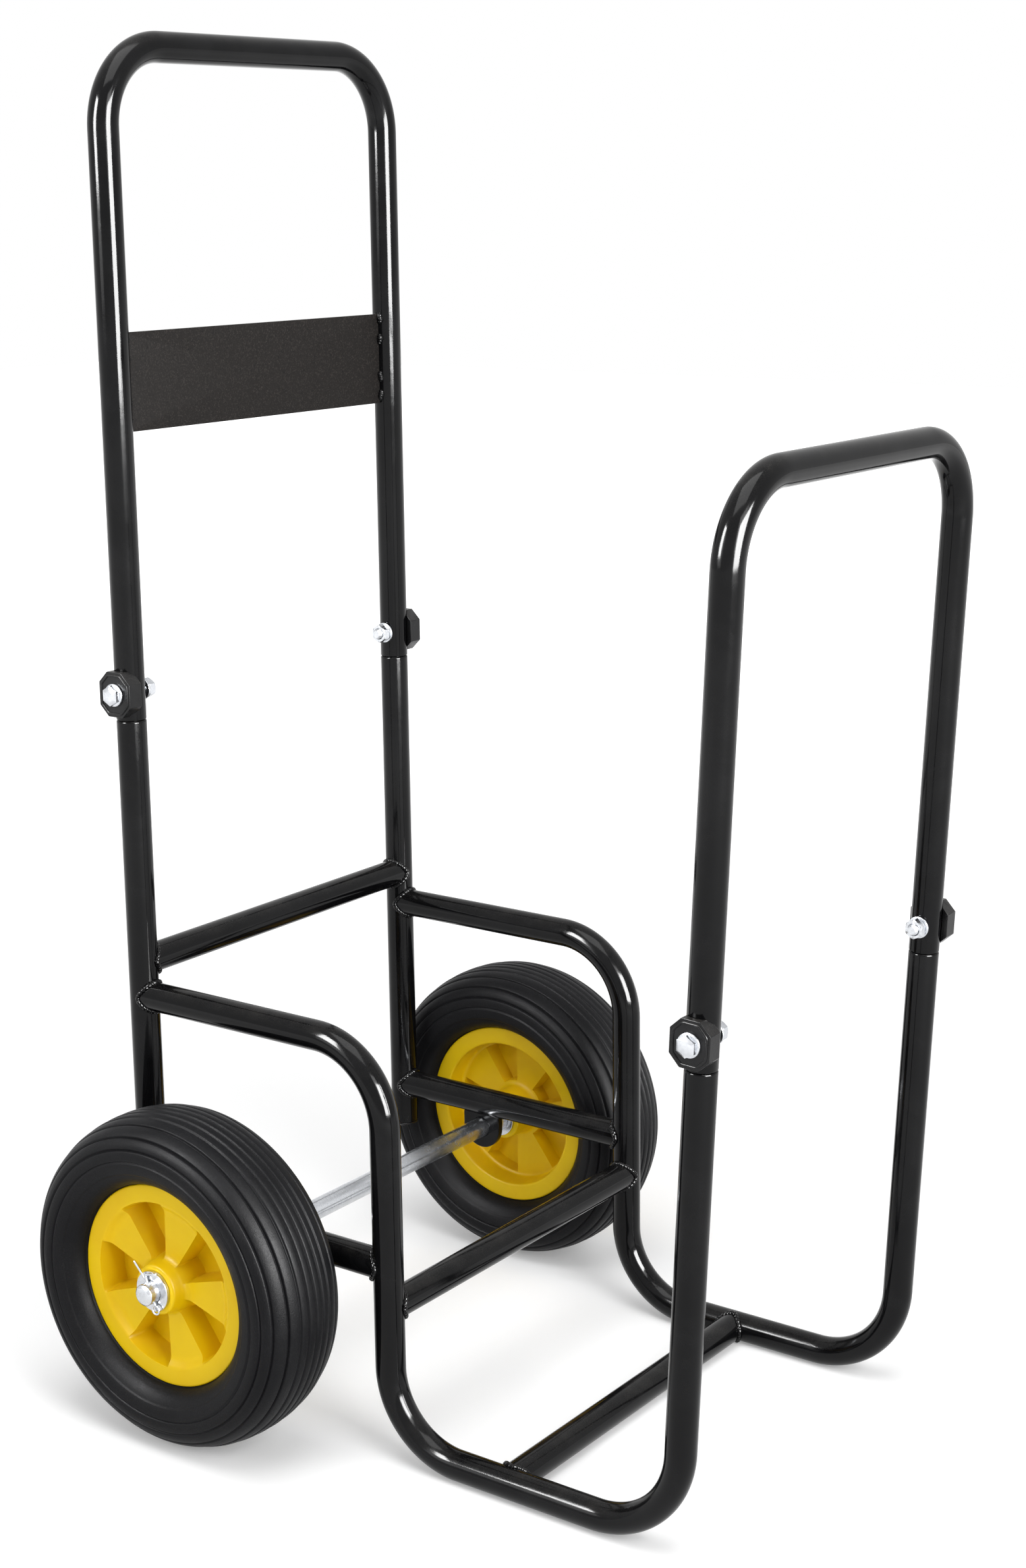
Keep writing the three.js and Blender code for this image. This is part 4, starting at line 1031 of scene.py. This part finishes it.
rubber, tree, coat, place = finish("tyre_rubber", sheen=0.08)
bloom = ranged(tree, noise(tree, place, 24.0, detail=6.0, rough=0.65), 0.35, 0.75)
scuff = ranged(tree, noise(tree, place, 850.0, detail=3.0, rough=0.7), 0.45, 0.75)
dusty = maths(tree, "MULTIPLY_ADD", marked(tree, "groove"), 0.35, maths(tree, "MULTIPLY", bloom, scuff))
feed(tree, coat["Base Color"], mixed(tree, maths(tree, "MULTIPLY", dusty, 0.55), RUBBER, RUBBER_DUSTY))
feed(tree, coat["Roughness"], maths(tree, "MULTIPLY_ADD", bloom, 0.14, 0.4))
fine = maths(tree, "MULTIPLY_ADD", scuff, 0.6, noise(tree, place, 2600.0))
feed(tree, coat["Normal"], raised(tree, fine, 0.00008))
for side, sign in SIDES.items():
    tyre = closed_surface(f"tyre_ribbed_{side}", placed(tyre_grid, mid(f"tyre_{side}"), sign), loop=True,
                          crease=60, marks=tyre_marks)
    fitted(tyre, rubber, "tyre_rubber", f"wheel_{side}", f"tyre_{side}")

# -------------------------------- floor, light and camera
# A plain white floor that keeps the cart's shadow, a white surround, and three soft lamps. Two cards that
# only gloss shows draw the bright lines down the tubes. The camera stands where the photo's did.
CAMERA_AT = (-1.43246, -1.04216, 0.88856)
CAMERA_AZIMUTH, CAMERA_ELEVATION = math.radians(-53.773), math.radians(13.303)
CAMERA_ROLL = math.radians(-0.72)
PHOTO_HEIGHT, FOCAL_PIXELS, SENSOR = 2380, 3814.64, 36.0
FLOOR_REACH, FLOOR_DROP = 9.0, 0.2 * MM
FLOOR_PALE, FLOOR_PALER = (0.83, 0.83, 0.83, 1), (0.86, 0.86, 0.86, 1)
FLOOR_LIFT_NEAR, FLOOR_LIFT_FAR = 0.22, 1.0
NEAR, FAR = 0.6, 2.6
SURROUND_LIGHT, SURROUND_SEEN = 0.5, 1.0
WHITE = (1, 1, 1, 1)


def straight_ray(tree):
    """1 for rays from the camera, off gloss or through glass, and 0 for those that only light."""
    seen = tree.nodes.new("ShaderNodeLightPath").outputs
    mirrored = maths(tree, "MAXIMUM", seen["Is Glossy Ray"], seen["Is Transmission Ray"])
    return maths(tree, "MAXIMUM", seen["Is Camera Ray"], mirrored)


floor_mesh = bpy.data.meshes.new("floor")
quarters = ((-1, -1), (1, -1), (1, 1), (-1, 1))
floor_corners = [(u * FLOOR_REACH, v * FLOOR_REACH, -FLOOR_DROP) for u, v in quarters]
floor_mesh.from_pydata(floor_corners, [], [(0, 1, 2, 3)])
floor = shown("floor", floor_mesh)
floor_finish, tree, coat, place = finish("pale_floor", sheen=0.1)
feed(tree, coat["Base Color"], mixed(tree, noise(tree, place, 3.0, detail=3.0), FLOOR_PALE, FLOOR_PALER))
coat["Roughness"].default_value = 0.9
coat["Emission Color"].default_value = WHITE
offset = node(tree, "VectorMath", Vector=place)
offset.operation = "LENGTH"
lift = ranged(tree, offset.outputs["Value"], NEAR, FAR, FLOOR_LIFT_NEAR, FLOOR_LIFT_FAR)
feed(tree, coat["Emission Strength"], maths(tree, "MULTIPLY", straight_ray(tree), lift))
floor.data.materials.append(floor_finish)

world = bpy.data.worlds.new("white_surround")
bpy.context.scene.world = world
world.use_nodes = True
tree = world.node_tree
tree.nodes.clear()
strength = ranged(tree, straight_ray(tree), 0.0, 1.0, SURROUND_LIGHT, SURROUND_SEEN)
sky = node(tree, "Background", Color=WHITE, Strength=strength)
ground = tree.nodes.new("ShaderNodeOutputWorld")
tree.links.new(sky.outputs["Background"], ground.inputs["Surface"])


def soft_light(name, at, towards, size, power, shine_only=False):
    """A rectangular lamp at a point, facing another. With shine_only, only gloss shows it."""
    lamp = bpy.data.lights.new(name, "AREA")
    lamp.shape = "RECTANGLE"
    lamp.size, lamp.size_y = size
    lamp.energy = power
    made = shown(name, lamp)
    away = np.subtract(at, towards)
    made.location = at
    made.rotation_euler = (math.acos(away[2] / np.linalg.norm(away)), 0, math.atan2(away[0], -away[1]))
    made.visible_diffuse = not shine_only


soft_light("front_soft", (-0.9, -2.1, 1.5), (0, 0, 0.6), (0.9, 1.4), 30)
soft_light("overhead", (-0.5, -0.3, 2.6), (0, 0, 0.4), (1.6, 1.6), 34)
soft_light("left_soft", (-2.2, 0.9, 1.3), (0, 0, 0.4), (1.0, 1.4), 14)
soft_light("window_card", (-0.45, -2.2, 1.05), (-0.1, 0, 0.9), (1.3, 1.4), 430, shine_only=True)
soft_light("side_card", (-1.35, 0.6, 1.3), (-0.15, -0.1, 1.0), (0.45, 0.8), 85, shine_only=True)

camera_data = bpy.data.cameras.new("camera")
camera_data.sensor_fit = "VERTICAL"
camera_data.sensor_height = SENSOR
camera_data.lens = FOCAL_PIXELS * SENSOR / PHOTO_HEIGHT
camera = shown("camera", camera_data)
camera.location = CAMERA_AT
aimed = Matrix.Rotation(CAMERA_AZIMUTH, 3, "Z") @ Matrix.Rotation(math.pi / 2 - CAMERA_ELEVATION, 3, "X")
camera.rotation_euler = (aimed @ Matrix.Rotation(CAMERA_ROLL, 3, "Z")).to_euler()
bpy.context.scene.camera = camera

bpy.context.scene.view_settings.view_transform = "Standard"
